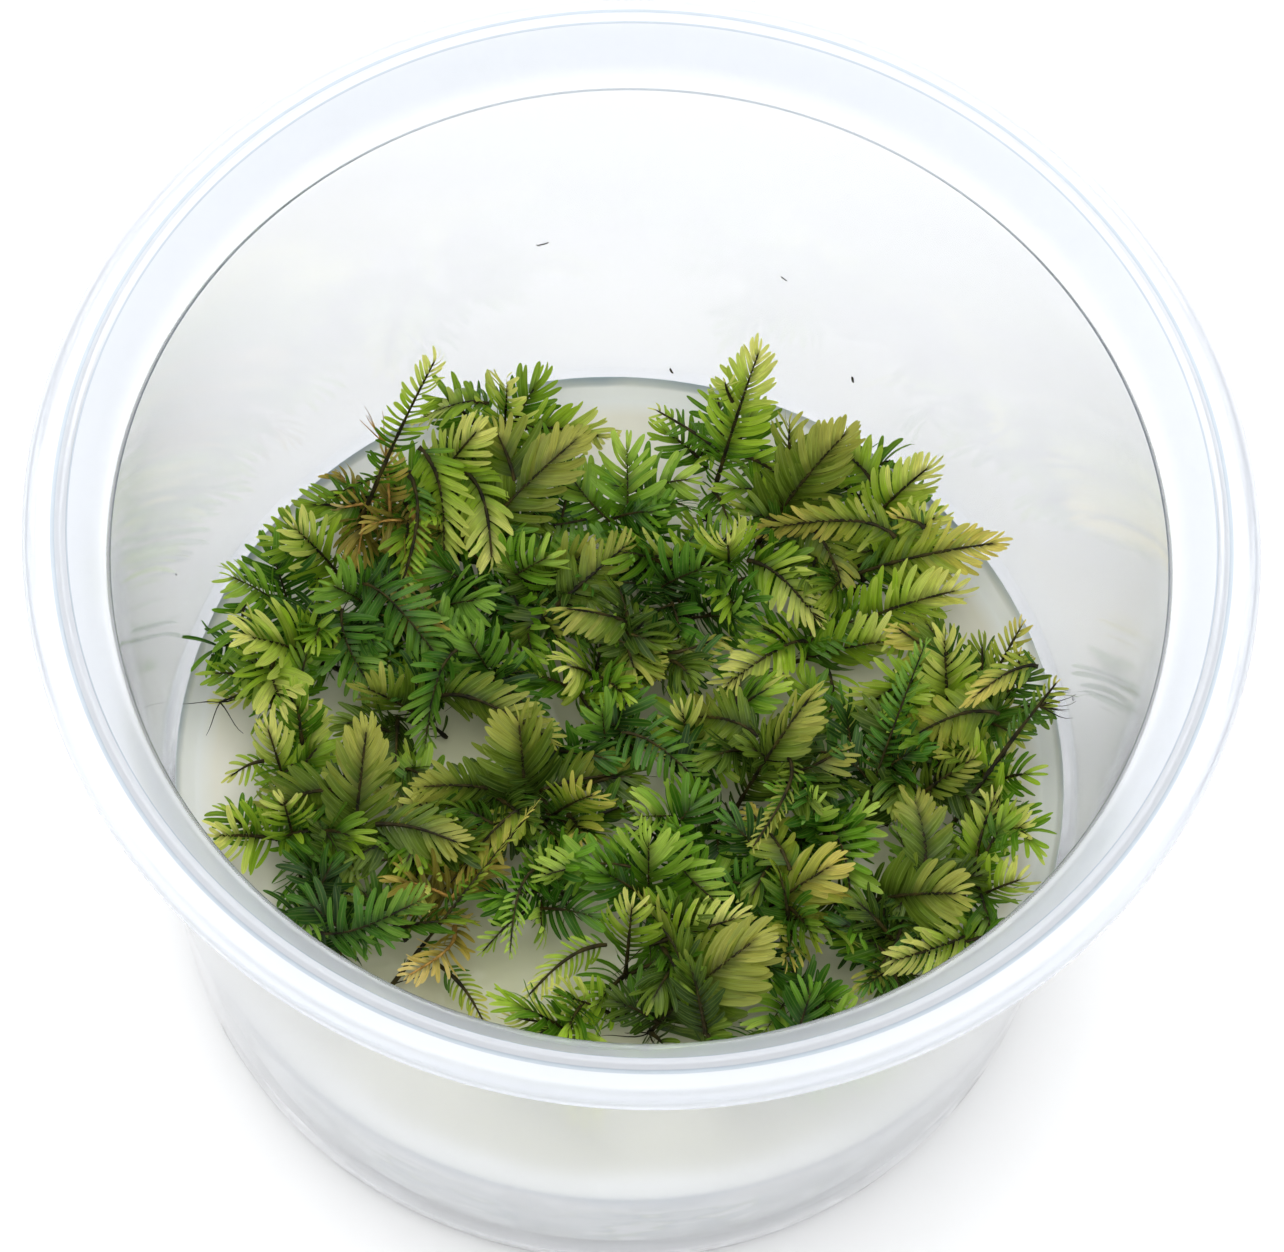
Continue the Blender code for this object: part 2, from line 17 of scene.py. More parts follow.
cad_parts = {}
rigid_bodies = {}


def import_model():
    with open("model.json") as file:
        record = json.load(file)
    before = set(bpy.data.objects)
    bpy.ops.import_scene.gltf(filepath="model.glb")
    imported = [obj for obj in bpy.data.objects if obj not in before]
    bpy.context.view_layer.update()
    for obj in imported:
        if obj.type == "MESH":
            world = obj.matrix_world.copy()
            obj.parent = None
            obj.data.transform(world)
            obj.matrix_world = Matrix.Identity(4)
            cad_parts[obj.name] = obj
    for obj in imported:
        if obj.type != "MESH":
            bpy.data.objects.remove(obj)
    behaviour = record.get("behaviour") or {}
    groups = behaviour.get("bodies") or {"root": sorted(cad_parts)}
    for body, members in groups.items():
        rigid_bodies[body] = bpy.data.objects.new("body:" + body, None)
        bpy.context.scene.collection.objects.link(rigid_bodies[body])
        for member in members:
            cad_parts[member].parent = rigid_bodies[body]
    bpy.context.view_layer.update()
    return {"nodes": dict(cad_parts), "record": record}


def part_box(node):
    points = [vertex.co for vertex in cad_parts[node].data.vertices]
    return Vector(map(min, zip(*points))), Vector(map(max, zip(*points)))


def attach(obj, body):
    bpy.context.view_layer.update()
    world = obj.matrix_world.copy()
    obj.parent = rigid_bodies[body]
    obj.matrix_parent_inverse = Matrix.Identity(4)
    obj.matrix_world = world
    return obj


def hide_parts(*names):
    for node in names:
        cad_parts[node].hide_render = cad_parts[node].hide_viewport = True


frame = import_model()
NODES = frame["nodes"]
MM = 0.001

# %% [markdown]
# ## Four small helpers
# Colours are written as the hex values a painter would pick from a screen, but
# Blender mixes light in linear values, so one function converts them. Materials
# and geometry trees are both made of nodes, and one function adds any node, with
# its colour stops if it is a ramp. The third turns a finished mesh into an object
# that sits at the origin, unturned, with its place in its vertices. The fourth
# starts a material.

# %% Helpers
def paint(code):
    """Linear RGBA from an sRGB hex code."""
    parts = [int(code[i:i + 2], 16) / 255 for i in (1, 3, 5)]
    linear = [c / 12.92 if c <= 0.04045 else ((c + 0.055) / 1.055) ** 2.4 for c in parts]
    return (*linear, 1.0)


def add(tree, kind, inputs=None, stops=(), **settings):
    """Add a node. Inputs go by name or index, and hold a value, a socket or a node."""
    node = tree.nodes.new(kind)
    for name, value in settings.items():
        setattr(node, name, value)
    for i, (position, code) in enumerate(stops):
        elements = node.color_ramp.elements
        stop = elements[i] if i < 2 else elements.new(position)
        stop.position, stop.color = position, paint(code)
    for key, value in (inputs or {}).items():
        if isinstance(value, bpy.types.Node):
            value = value.outputs[0]
        if isinstance(value, bpy.types.NodeSocket):
            tree.links.new(value, node.inputs[key])
        else:
            node.inputs[key].default_value = value
    return node


def placed(name, data, *finishes):
    """An object at the origin for a mesh or a camera, with its materials."""
    for finish in finishes:
        data.materials.append(finish)
    made = bpy.data.objects.new(name, data)
    bpy.context.scene.collection.objects.link(made)
    return made


def new_material(name):
    """A node material with an empty tree, and its output node."""
    made = bpy.data.materials.new(name)
    made.use_nodes = True
    made.node_tree.nodes.clear()
    return made, made.node_tree, made.node_tree.nodes.new("ShaderNodeOutputMaterial")


print("ready: paint, add, placed, new_material")

# %% [markdown]
# ## Camera
# The photo looks down into the cup at 65 degrees, from about half a metre, with
# the picture turned a few degrees. A long lens at that distance keeps the rim's
# ellipse as flat as it is in the photo. The camera is aimed at a point near the
# middle of the shoulder, then rolled about its own axis.

# %% Camera
CAMERA_PLACE = Vector((0, -225.8, 528.6)) * MM
AIM_POINT = Vector((0.63, -6.77, 64.6)) * MM
CAMERA_ROLL = radians(5.41)
LENS_MM = 178.3

camera_data = bpy.data.cameras.new("camera")
camera_data.lens = LENS_MM
camera_data.clip_start = 0.01
camera = placed("camera", camera_data)
camera.location = CAMERA_PLACE
level = (AIM_POINT - CAMERA_PLACE).to_track_quat("-Z", "Y").to_matrix()
camera.rotation_euler = (level @ Matrix.Rotation(CAMERA_ROLL, 3, "Z")).to_euler()
bpy.context.scene.camera = camera
print("camera looks down at", round(degrees(asin(level.col[2].z)), 1), "degrees")

# %% [markdown]
# ## Floor and light
# The photo is a white product picture: the floor is lit until it is plain white,
# and the light is so soft that the cup has hardly a shadow. A clear cup is only
# seen by what it bends and mirrors, so the sky of this scene is white overhead
# and a little blue-grey towards the horizon, which draws the rim and the wall. A
# softbox is one brighter, soft-edged round in that sky, behind and left of the cup.
# It gives the leaves their light and dark sides, and the wet gel its shine. Light
# this broad is found by every bounce, so Cycles needs no map to look for it.

# %% Floor and sky
FLOOR_SIZE = 3.0
SKY_STRENGTH = 1.30
SKY_BAND = ((0.02, "#c3ccd8"), (0.45, "#ffffff"))
SOFTBOX_WAY = Vector((-0.20, 0.25, 0.95)).normalized()
SOFTBOX_EDGE = radians(38)
SOFTBOX_FULL = radians(16)
SOFTBOX_GAIN = 1.1

bpy.context.scene.view_settings.view_transform = "Standard"
floor_mesh = bpy.data.meshes.new("floor")
half = FLOOR_SIZE / 2
corners = [(-half, -half, 0), (half, -half, 0), (half, half, 0), (-half, half, 0)]
floor_mesh.from_pydata(corners, [], [(0, 1, 2, 3)])
floor_paint, tree, output = new_material("white studio card")
card = add(tree, "ShaderNodeBsdfDiffuse", {"Color": paint("#fbfbfb")})
tree.links.new(card.outputs[0], output.inputs["Surface"])
floor = placed("floor", floor_mesh, floor_paint)

world = bpy.data.worlds.new("white tent")
bpy.context.scene.world = world
world.use_nodes = True
world.cycles.sampling_method = "NONE"
tree = world.node_tree
tree.nodes.clear()
direction = add(tree, "ShaderNodeTexCoord").outputs["Generated"]
height = add(tree, "ShaderNodeSeparateXYZ", {0: direction}).outputs["Z"]
band = add(tree, "ShaderNodeValToRGB", {0: height}, stops=SKY_BAND)
towards = add(tree, "ShaderNodeVectorMath", {0: direction, 1: SOFTBOX_WAY}, operation="DOT_PRODUCT")
softbox = add(tree, "ShaderNodeMapRange", {
    0: towards.outputs["Value"], 1: cos(SOFTBOX_EDGE), 2: cos(SOFTBOX_FULL),
    3: SKY_STRENGTH, 4: SKY_STRENGTH * (1 + SOFTBOX_GAIN),
})
sky = add(tree, "ShaderNodeBackground", {"Color": band, "Strength": softbox})
add(tree, "ShaderNodeOutputWorld", {"Surface": sky})
print("floor of", FLOOR_SIZE, "m, and a sky with one softbox")

# %% [markdown]
# ## The cup
# The cup is injection moulded polypropylene, less than a millimetre thick. A part
# like this is round everywhere, so it is turned from half of its section. The
# corners of the section are rounded by arcs first: a moulded edge is never sharp,
# and the rounded edges are what catches the light on a clear part.

# %% Section of the cup
# Share of a side that an arc may take, and the longest stretch in mm.
ROOM_SHARE = 0.45
LONGEST_FACE = 4.0


def rounded(section, steps=5):
    """Points of an open outline of (x, y, radius), with an arc at each corner between its ends."""
    points = [Vector(p[:2]) for p in section]
    radii = [p[2] for p in section[1:-1]]
    smooth = [points[0]]
    for before, corner, after, radius in zip(points, points[1:], points[2:], radii):
        back, ahead = (before - corner).normalized(), (after - corner).normalized()
        half_turn = back.angle(ahead) / 2
        room = ROOM_SHARE * min((before - corner).length, (after - corner).length)
        reach = min(radius / tan(half_turn), room)
        start, end = corner + back * reach, corner + ahead * reach
        for i in range(steps + 1):
            t = i / steps
            smooth.append(start * (1 - t) ** 2 + corner * 2 * t * (1 - t) + end * t * t)
    smooth.append(points[-1])
    return smooth


def divided(points):
    """The same outline with no long stretches, so that it is turned into even faces."""
    even = [points[0]]
    for low, high in zip(points, points[1:]):
        parts = ceil((high - low).length / LONGEST_FACE)
        even += [low.lerp(high, (i + 1) / parts) for i in range(parts)]
    return even


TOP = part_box("cup")[1].z / MM
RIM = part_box("cup")[1].x / MM
WALL = 0.9
FLOOR = 1.0
BASE_RADIUS, BASE_CORNER = 38.8, 4.5
SHOULDER_RADIUS, SHOULDER_HEIGHT = 43.0, 64.6
SHOULDER_STEP = 0.08
LIP_RADIUS = 46.5
RIM_THICKNESS = 1.35
SKIRT_HEIGHT, SKIRT_WALL = 2.1, 0.8
GROOVE_DEPTH = 0.4

# Each corner of the section: radius and height in mm, and how round it is.
OUTSIDE = [
    (0, 0, 0),
    (BASE_RADIUS, 0, BASE_CORNER),
    (SHOULDER_RADIUS + WALL, SHOULDER_HEIGHT - WALL, 1.2),
    (LIP_RADIUS + WALL / 2, TOP - RIM_THICKNESS, 0.5),
    (RIM - 1.2, TOP - RIM_THICKNESS, 0.5),
    (RIM - SKIRT_WALL, TOP - SKIRT_HEIGHT, 0.1),
]
RIM_TOP = [
    (RIM, TOP - SKIRT_HEIGHT, 0.3),
    (RIM - 0.1, TOP - WALL, 0.8),
    (RIM - 1.0, TOP - 0.1, 0.7),
    (LIP_RADIUS + 0.9, TOP - GROOVE_DEPTH, 0.5),
    (LIP_RADIUS + 0.3, TOP, 0.35),
    (LIP_RADIUS - 0.2, TOP - 0.2, 0.35),
]
INSIDE = [
    (SHOULDER_RADIUS, SHOULDER_HEIGHT + 0.15, 0.12),
    (SHOULDER_RADIUS - SHOULDER_STEP, SHOULDER_HEIGHT, 0.12),
    (BASE_RADIUS - WALL, FLOOR, BASE_CORNER - WALL),
    (0, FLOOR, 0),
]
outline = divided(rounded(OUTSIDE + RIM_TOP + INSIDE))
print("cup section:", len(outline), "points, rim", round(2 * RIM, 1), "mm wide,", round(TOP, 1), "mm high")


# %% Turning a section
WELD = 0.001 * MM
TURN_STEPS = 160


def turned(name, section):
    """A closed mesh turned round Z from a section in mm that starts and ends on the axis."""
    bm = bmesh.new()
    verts = [bm.verts.new((r * MM, 0, z * MM)) for r, z in section]
    edges = [bm.edges.new(pair) for pair in zip(verts, verts[1:])]
    bmesh.ops.spin(
        bm, geom=verts + edges, cent=(0, 0, 0), axis=(0, 0, 1), angle=tau, steps=TURN_STEPS)
    bmesh.ops.remove_doubles(bm, verts=bm.verts, dist=WELD)
    bmesh.ops.recalc_face_normals(bm, faces=bm.faces)
    mesh = bpy.data.meshes.new(name)
    bm.to_mesh(mesh)
    bm.free()
    mesh.shade_smooth()
    return mesh


# Moulding leaves the wall a little wavy. Height counts less, so that the waves stand upright.
WAVE_SIZE, WAVE_DEPTH = 8.0 * MM, 0.04 * MM
WAVE_STRETCH = 3
WAVES_END = (SHOULDER_HEIGHT - 3) * MM
cup_mesh = turned("culture_cup", outline)
for vertex in cup_mesh.vertices:
    flat = Vector((vertex.co.x, vertex.co.y, 0))
    wave = noise.noise(Vector((flat.x, flat.y, vertex.co.z / WAVE_STRETCH)) / WAVE_SIZE)
    if vertex.co.z < WAVES_END:
        vertex.co -= flat.normalized() * WAVE_DEPTH * wave
print("cup:", len(cup_mesh.polygons), "faces")

# %% [markdown]
# ## Clear polypropylene
# Polypropylene is clear with a slight haze, because it is partly crystalline. Its
# index of refraction is 1.49. The haze is a low roughness and a small share of
# diffuse white. The flange above the shoulder is moulded thicker and cools slower,
# so more of it crystallises: it is milkier and a little bluer than the wall. The
# mould leaves creases at the shoulder, at the lip and in the groove of the rim. A
# crease scatters some light, and the shade and reflection of these edges and of the
# groove are painted on each as a fine blue-grey line all round the cup.
# Where the wet gel sticks to the wall it fills the fine grain of the plastic, and
# there the wall is as clear as glass.

# %% Polypropylene
PP_HAZE = 0.11
PP_CLARITY, RIM_CLARITY = 0.88, 0.56
WALL_TINT, RIM_TINT = "#f5f6f9", "#eef1f6"
RIM_STARTS, RIM_FULL = SHOULDER_HEIGHT - 0.2, SHOULDER_HEIGHT + 1.2

# Radius, height and half width of each crease in mm, and its colour, a painted line of
# shade and reflection. Its core is sharp.
CREASE_CORE = 0.6
CREASE_SHADE_LINES = (
    (SHOULDER_RADIUS, SHOULDER_HEIGHT + 0.08, 0.16, "#a3aeb6"),
    (LIP_RADIUS + 0.9, TOP - GROOVE_DEPTH, 0.24, "#c0ccd6"),
    (LIP_RADIUS - 0.2, TOP - 0.3, 0.14, "#c6d1da"),
)

# The gel stands this high in mm, and its film climbs this much further up the wall.
GEL_LEVEL, MENISCUS = 19.0, 1.3
STUCK_PATCH, STUCK_HAZE = 8.0 * MM, 0.015

polypropylene, tree, output = new_material("clear polypropylene")
place = add(tree, "ShaderNodeTexCoord").outputs["Object"]
height = add(tree, "ShaderNodeSeparateXYZ", {0: place}).outputs["Z"]
thick = add(tree, "ShaderNodeMapRange", {0: height, 1: RIM_STARTS * MM, 2: RIM_FULL * MM})
tint = add(tree, "ShaderNodeMix", {0: thick, 6: paint(WALL_TINT), 7: paint(RIM_TINT)}, data_type="RGBA")
clear = add(tree, "ShaderNodeMapRange", {0: thick, 3: PP_CLARITY, 4: RIM_CLARITY})
flat = add(tree, "ShaderNodeVectorMath", {0: place, 1: (1, 1, 0)}, operation="MULTIPLY")
radius = add(tree, "ShaderNodeVectorMath", {0: flat}, operation="LENGTH").outputs["Value"]
on_section = add(tree, "ShaderNodeCombineXYZ", {0: radius, 1: height})
# Each crease adds a painted line of shade and reflection to the tint.
for crease_radius, crease_height, half_width, code in CREASE_SHADE_LINES:
    crease = (crease_radius * MM, crease_height * MM, 0)
    away = add(tree, "ShaderNodeVectorMath", {0: on_section, 1: crease}, operation="DISTANCE")
    line = add(tree, "ShaderNodeMapRange", {
        0: away.outputs["Value"], 1: half_width * MM, 2: CREASE_CORE * half_width * MM})
    tint = add(tree, "ShaderNodeMix", {0: line, 6: tint.outputs[2], 7: paint(code)}, data_type="RGBA")
film_top = (GEL_LEVEL + MENISCUS) * MM
wetted = add(tree, "ShaderNodeMapRange", {0: height, 1: film_top + 0.2 * MM, 2: film_top})
patches = add(tree, "ShaderNodeTexNoise", {"Vector": place, "Scale": 1 / STUCK_PATCH, "Detail": 2.0})
stuck = add(tree, "ShaderNodeMapRange", {0: patches, 1: 0.44, 2: 0.50})
stuck = add(tree, "ShaderNodeMath", {0: wetted, 1: stuck}, operation="MULTIPLY")
haze = add(tree, "ShaderNodeMapRange", {0: stuck, 3: PP_HAZE, 4: STUCK_HAZE})
plastic = add(tree, "ShaderNodeBsdfPrincipled", {
    "Base Color": tint.outputs[2],
    "Roughness": haze,
    "IOR": 1.49,
    "Transmission Weight": clear,
})
tree.links.new(plastic.outputs[0], output.inputs["Surface"])
cup = placed("culture_cup", cup_mesh, polypropylene)
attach(cup, "root")
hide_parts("cup")
print("cup dressed in", polypropylene.name)

# %% [markdown]
# ## The gel
# Agar sets flat but never quite level: it climbs the wall a little, shrinks as it
# dries and keeps small dents. The disc is turned like the cup, and then its top is
# moved up and down by two smooth noises, a wide one and a fine one, of about a tenth
# of a millimetre.

# %% Gel
GEL_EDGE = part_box("gel")[1].x / MM
GEL_SECTION = [
    (0, 1.3, 0),
    (34.0, 1.3, 2.5),
    (37.0, 4.3, 2.0),
    (GEL_EDGE + 0.1, GEL_LEVEL + MENISCUS, 0.05),
    (GEL_EDGE - 0.35, GEL_LEVEL + 0.3, 0.5),
    (GEL_EDGE - 1.6, GEL_LEVEL, 1.2),
    (0, GEL_LEVEL, 0),
]
RINGS_ON_TOP = 44
DENTS = ((11.0, 0.10), (2.6, 0.05))
gel_outline = divided(rounded(GEL_SECTION)[:-1])
last = gel_outline[-1]
gel_outline += [Vector((last.x * (1 - i / RINGS_ON_TOP), GEL_LEVEL)) for i in range(1, RINGS_ON_TOP + 1)]
gel_mesh = turned("agar_gel", gel_outline)
for vertex in gel_mesh.vertices:
    if vertex.co.z > (GEL_LEVEL - 0.5) * MM:
        vertex.co.z += sum(depth * noise.noise(vertex.co / (size * MM)) for size, depth in DENTS) * MM
print("gel:", len(gel_mesh.polygons), "faces")

# %% [markdown]
# ## Agar
# Agar is a cloudy, almost white jelly with a wet skin, so it is cream and smooth.
# Where the moss grows, a little in front of the middle, the gel is painted a dull olive:
# painted shade of the moss and the cup over it.
# Where the jelly climbs the wall it is only a thin film, and the light that leaves it
# sideways is lost to the eye. That edge looks blue-grey, so the colour changes with
# the distance from the middle of the cup. The jelly also lets some light of the white
# table through from below, which a faint glow stands for.

# %% Agar
UNDERLIGHT = 0.08
CLOUD_SIZE, CLOUD_TONES = 14.0 * MM, ((0.35, "#e0ddcb"), (0.65, "#f4f1e6"))
# Painted shade of the moss and the cup: the gel turns dull olive towards this centre.
MOSS_SHADE_CENTRE, MOSS_SHADE_TINT = Vector((0, -9, 0)) * MM, "#b9b99c"
MOSS_SHADE_FULL, MOSS_SHADE_ENDS = 27.0 * MM, 35.0 * MM

# Distances from the middle of the cup.
CLEAR_STARTS, CLEAR_FULL, CLEAR_TINT = 36.4 * MM, 38.0 * MM, "#eceeea"
EDGE_STARTS, EDGE_FULL, EDGE_TINT = 39.4 * MM, 40.0 * MM, "#aebdc8"
RAGGED_BY = 2.0 * MM

agar, tree, output = new_material("agar gel")
place = add(tree, "ShaderNodeTexCoord").outputs["Object"]
cloud = add(tree, "ShaderNodeTexNoise", {"Vector": place, "Scale": 1 / CLOUD_SIZE, "Detail": 3.0})
tint = add(tree, "ShaderNodeValToRGB", {0: cloud}, stops=CLOUD_TONES)
flat = add(tree, "ShaderNodeVectorMath", {0: place, 1: (1, 1, 0)}, operation="MULTIPLY")
radius = add(tree, "ShaderNodeVectorMath", {0: flat}, operation="LENGTH").outputs["Value"]
from_moss = add(tree, "ShaderNodeVectorMath", {0: flat, 1: MOSS_SHADE_CENTRE}, operation="DISTANCE")
painted_moss_shade = add(tree, "ShaderNodeMapRange", {0: from_moss.outputs["Value"], 1: MOSS_SHADE_ENDS, 2: MOSS_SHADE_FULL})
ragged = add(tree, "ShaderNodeMath", {0: cloud, 1: RAGGED_BY, 2: radius}, operation="MULTIPLY_ADD")
thinner = add(tree, "ShaderNodeMapRange", {0: ragged, 1: CLEAR_STARTS, 2: CLEAR_FULL})
at_edge = add(tree, "ShaderNodeMapRange", {0: ragged, 1: EDGE_STARTS, 2: EDGE_FULL})
tint = tint.outputs[0]
# Painted shade of the moss and cup first, then the thinner film and its blue-grey edge.
for where, code in ((painted_moss_shade, MOSS_SHADE_TINT), (thinner, CLEAR_TINT), (at_edge, EDGE_TINT)):
    tint = add(tree, "ShaderNodeMix", {0: where, 6: tint, 7: paint(code)}, data_type="RGBA").outputs[2]

# Against the wall the gel sticks in some patches and has come off in others. Its side is
# painted with soft patches of slate, green and white behind the plastic: the slate is painted
# reflection where the gel has come off, and the green is painted moss seen through the gel.
# They are wider than high.
PATCH_SIZE = 5.0 * MM
PATCH_TONES = ((0.34, "#cfd6d2"), (0.43, "#bfc9c6"), (0.49, "#9aa9b1"), (0.55, "#aebc9c"), (0.62, "#e6e9e6"))
PATCHES_FULL, PATCHES_END = (GEL_LEVEL - 5) * MM, (GEL_LEVEL - 1.5) * MM
wide = add(tree, "ShaderNodeVectorMath", {0: place, 1: (1, 1, 2.2)}, operation="MULTIPLY")
mottle = add(tree, "ShaderNodeTexNoise", {"Vector": wide, "Scale": 1 / PATCH_SIZE, "Detail": 1.0})
patch_tone = add(tree, "ShaderNodeValToRGB", {0: mottle}, stops=PATCH_TONES)
height = add(tree, "ShaderNodeSeparateXYZ", {0: place}).outputs["Z"]
low = add(tree, "ShaderNodeMapRange", {0: height, 1: PATCHES_END, 2: PATCHES_FULL})
patchy = add(tree, "ShaderNodeMapRange", {0: cloud, 1: 0.42, 2: 0.56, 3: 0.3, 4: 0.8})
loose = add(tree, "ShaderNodeMath", {0: low, 1: patchy}, operation="MULTIPLY")
# Painted reflection, and painted moss seen through the gel, low on its side.
tint = add(tree, "ShaderNodeMix", {0: loose, 6: tint, 7: patch_tone}, data_type="RGBA").outputs[2]

# Fine unevenness of the wet skin, which breaks up the shine.
SKIN_SIZE, SKIN_DEPTH = 1.6 * MM, 0.1 * MM
wet = add(tree, "ShaderNodeTexNoise", {"Vector": place, "Scale": 1 / SKIN_SIZE, "Detail": 2.0})
bump = add(tree, "ShaderNodeBump", {"Strength": 0.25, "Distance": SKIN_DEPTH, "Height": wet})
jelly = add(tree, "ShaderNodeBsdfPrincipled", {
    "Base Color": tint,
    "Roughness": 0.12,
    "IOR": 1.34,
    "Emission Color": tint,
    "Emission Strength": UNDERLIGHT,
    "Normal": bump,
})
tree.links.new(jelly.outputs[0], output.inputs["Surface"])
gel = placed("agar_gel", gel_mesh, agar)
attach(gel, "root")
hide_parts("gel")
print("gel dressed in", agar.name)

# %% [markdown]
# ## Reading the fronds
# Each sprig in the solid model has a three-sided stem, and a long spike for each
# bunch of leaves. The rings of the stem are small triangles with known sides, so
# the stem can be followed ring by ring from its top down, and the spikes on the
# way give the reach of the leaves. That is all that real leaves need: a line, the
# way its flat side faces, and how far the leaves reach.

# %% Frond lines from a solid sprig
STEM_WIDTH, STEM_DEPTH = 0.9 * MM, 0.8 * MM
STEM_SLOPE = hypot(STEM_WIDTH / 2, STEM_DEPTH)
SIDE_TOLERANCE = 0.004 * MM

# Two rings that follow each other are tied by at least this many edges.
TIES = 5


def welded(node):
    """Neighbours and places of a node's vertices, with its loose triangles joined."""
    bm = bmesh.new()
    bm.from_mesh(node.data)
    bmesh.ops.remove_doubles(bm, verts=bm.verts, dist=WELD)
    bm.verts.index_update()
    near = [{e.other_vert(v).index for e in v.link_edges} for v in bm.verts]
    places = [v.co.copy() for v in bm.verts]
    bm.free()
    return near, places


def stem_rings(near, places):
    """Triangles (edge, edge, keel) that go round a stem."""
    def matches(a, b, length):
        return abs((places[a] - places[b]).length - length) < SIDE_TOLERANCE

    rings = []
    for a, around in enumerate(near):
        for b in around:
            if a < b and matches(a, b, STEM_WIDTH):
                for k in around & near[b]:
                    if matches(a, k, STEM_SLOPE) and matches(b, k, STEM_SLOPE):
                        rings.append((a, b, k))
    return rings


def chains(rings, near):
    """Rings in the order in which they follow each other, each chain from its top down."""
    def ties(one, other):
        return sum(b in near[a] for a in one for b in other)

    linked = {
        r: [o for o in rings if o is not r and not set(o) & set(r) and ties(r, o) >= TIES] for r in rings}
    tips = {v for v, around in enumerate(near) if len(around) == 3}
    tops = [r for r in rings if tips & near[r[0]] & near[r[1]] & near[r[2]]]
    found = []
    for top in tops:
        chain = [top]
        while True:
            onward = [r for r in linked[chain[-1]] if r not in chain]
            if not onward:
                break
            chain.append(onward[0])
        found.append(chain)
    return found, tips


print("stem rings with sides of", round(STEM_WIDTH / MM, 2), "and", round(STEM_SLOPE / MM, 2), "mm")


# %% Lines with everything that the leaves need
TIP_REACH, FOOT_REACH = 0.15, 0.45


def frond_line(chain, tips, near, places):
    """Stations up one frond: place, side, face, reach of the leaves there, and if it bears any."""
    rings = chain[::-1]
    stations = []
    for ring in rings:
        a, b, keel = (places[v] for v in ring)
        middle = (a + b) / 2
        face = (middle - keel).normalized()
        stations.append({"place": middle, "face": face, "reach": 0.0, "leafy": False})
    ways = [after["place"] - before["place"] for before, after in zip(stations, stations[1:])]
    ways.append(ways[-1])
    for i, (low, high) in enumerate(zip(rings, rings[1:])):
        middle = (stations[i]["place"] + stations[i + 1]["place"]) / 2
        pair = [v for v in tips if len(near[v] & set(low)) in (1, 2) and near[v] <= set(low) | set(high)]
        if pair:
            stations[i]["reach"] = max((places[v] - middle).length for v in pair)
            stations[i]["leafy"] = stations[i + 1]["leafy"] = True
    top = rings[-1]
    apex = next(v for v in tips if near[v] == set(top))
    growing = places[apex] - stations[-1]["place"]
    stations[-1]["reach"] = growing.length
    beyond = dict(stations[-1], place=stations[-1]["place"] + growing * TIP_REACH)
    beyond["reach"] = growing.length * (1 - TIP_REACH)
    stations.append(beyond)
    ways.append(growing)
    for station, way in zip(stations, ways):
        station["side"] = way.cross(station["face"]).normalized()
    fill_gaps(stations)
    return stations


def fill_gaps(stations):
    """Give a station whose leaves were lost to a side frond the reach of its neighbour."""
    first = next(i for i, s in enumerate(stations) if s["leafy"])
    for i in range(first, len(stations)):
        if not stations[i]["reach"]:
            stations[i]["reach"] = stations[i - 1]["reach"] or stations[i + 1]["reach"]
        stations[i]["leafy"] = True
    for i in range(first):
        stations[i]["reach"] = FOOT_REACH * stations[first]["reach"]


def frond_lines(node):
    """All fronds of a solid sprig, each as a list of stations."""
    near, places = welded(node)
    found, tips = chains(stem_rings(near, places), near)
    return [frond_line(chain, tips, near, places) for chain in found]


longest = max(s["reach"] for stations in frond_lines(NODES["sprig_back_1"]) for s in stations)
print("leaves of sprig_back_1 reach up to", round(longest / MM, 1), "mm")


# %% A mesh of bare lines
# Share up the blade that a bare foot and a hair get: the one keeps half its leaves, the other none.
BARE_SHARE, HAIR_SHARE = -1.0, -9.0


def line_mesh(name, lines):
    """A mesh of bare lines, with what the leaves need on its points."""
    mesh = bpy.data.meshes.new(name)
    points, edges, share, height = [], [], [], []
    for stations in lines:
        first = len(points)
        points += [s["place"] for s in stations]
        edges += [(first + i, first + i + 1) for i in range(len(stations) - 1)]
        leafy = [i for i, s in enumerate(stations) if s["leafy"]] or [0]
        run = max(1, leafy[-1] - leafy[0])
        bare = BARE_SHARE if stations[0]["girth"] == 1 else HAIR_SHARE
        share += [(i - leafy[0]) / run if s["leafy"] else bare for i, s in enumerate(stations)]
        height += [i / (len(stations) - 1) for i in range(len(stations))]
    mesh.from_pydata(points, edges, [])
    stored = {"share": share, "up_stem": height}
    for key in ("reach", "age", "sag", "girth", "side", "face"):
        stored[key] = [s[key] for stations in lines for s in stations]
    for key, values in stored.items():
        kind, field = ("FLOAT_VECTOR", "vector") if key in ("side", "face") else ("FLOAT", "value")
        values = np.array(values, dtype=np.float32).ravel()
        mesh.attributes.new(key, kind, "POINT").data.foreach_set(field, values)
    return mesh


print("shares of a bare foot and a hair:", BARE_SHARE, HAIR_SHARE)

# %% Fronds as the photo shows them
REACH_SCALE = 0.80
FEWEST_STATIONS = 3

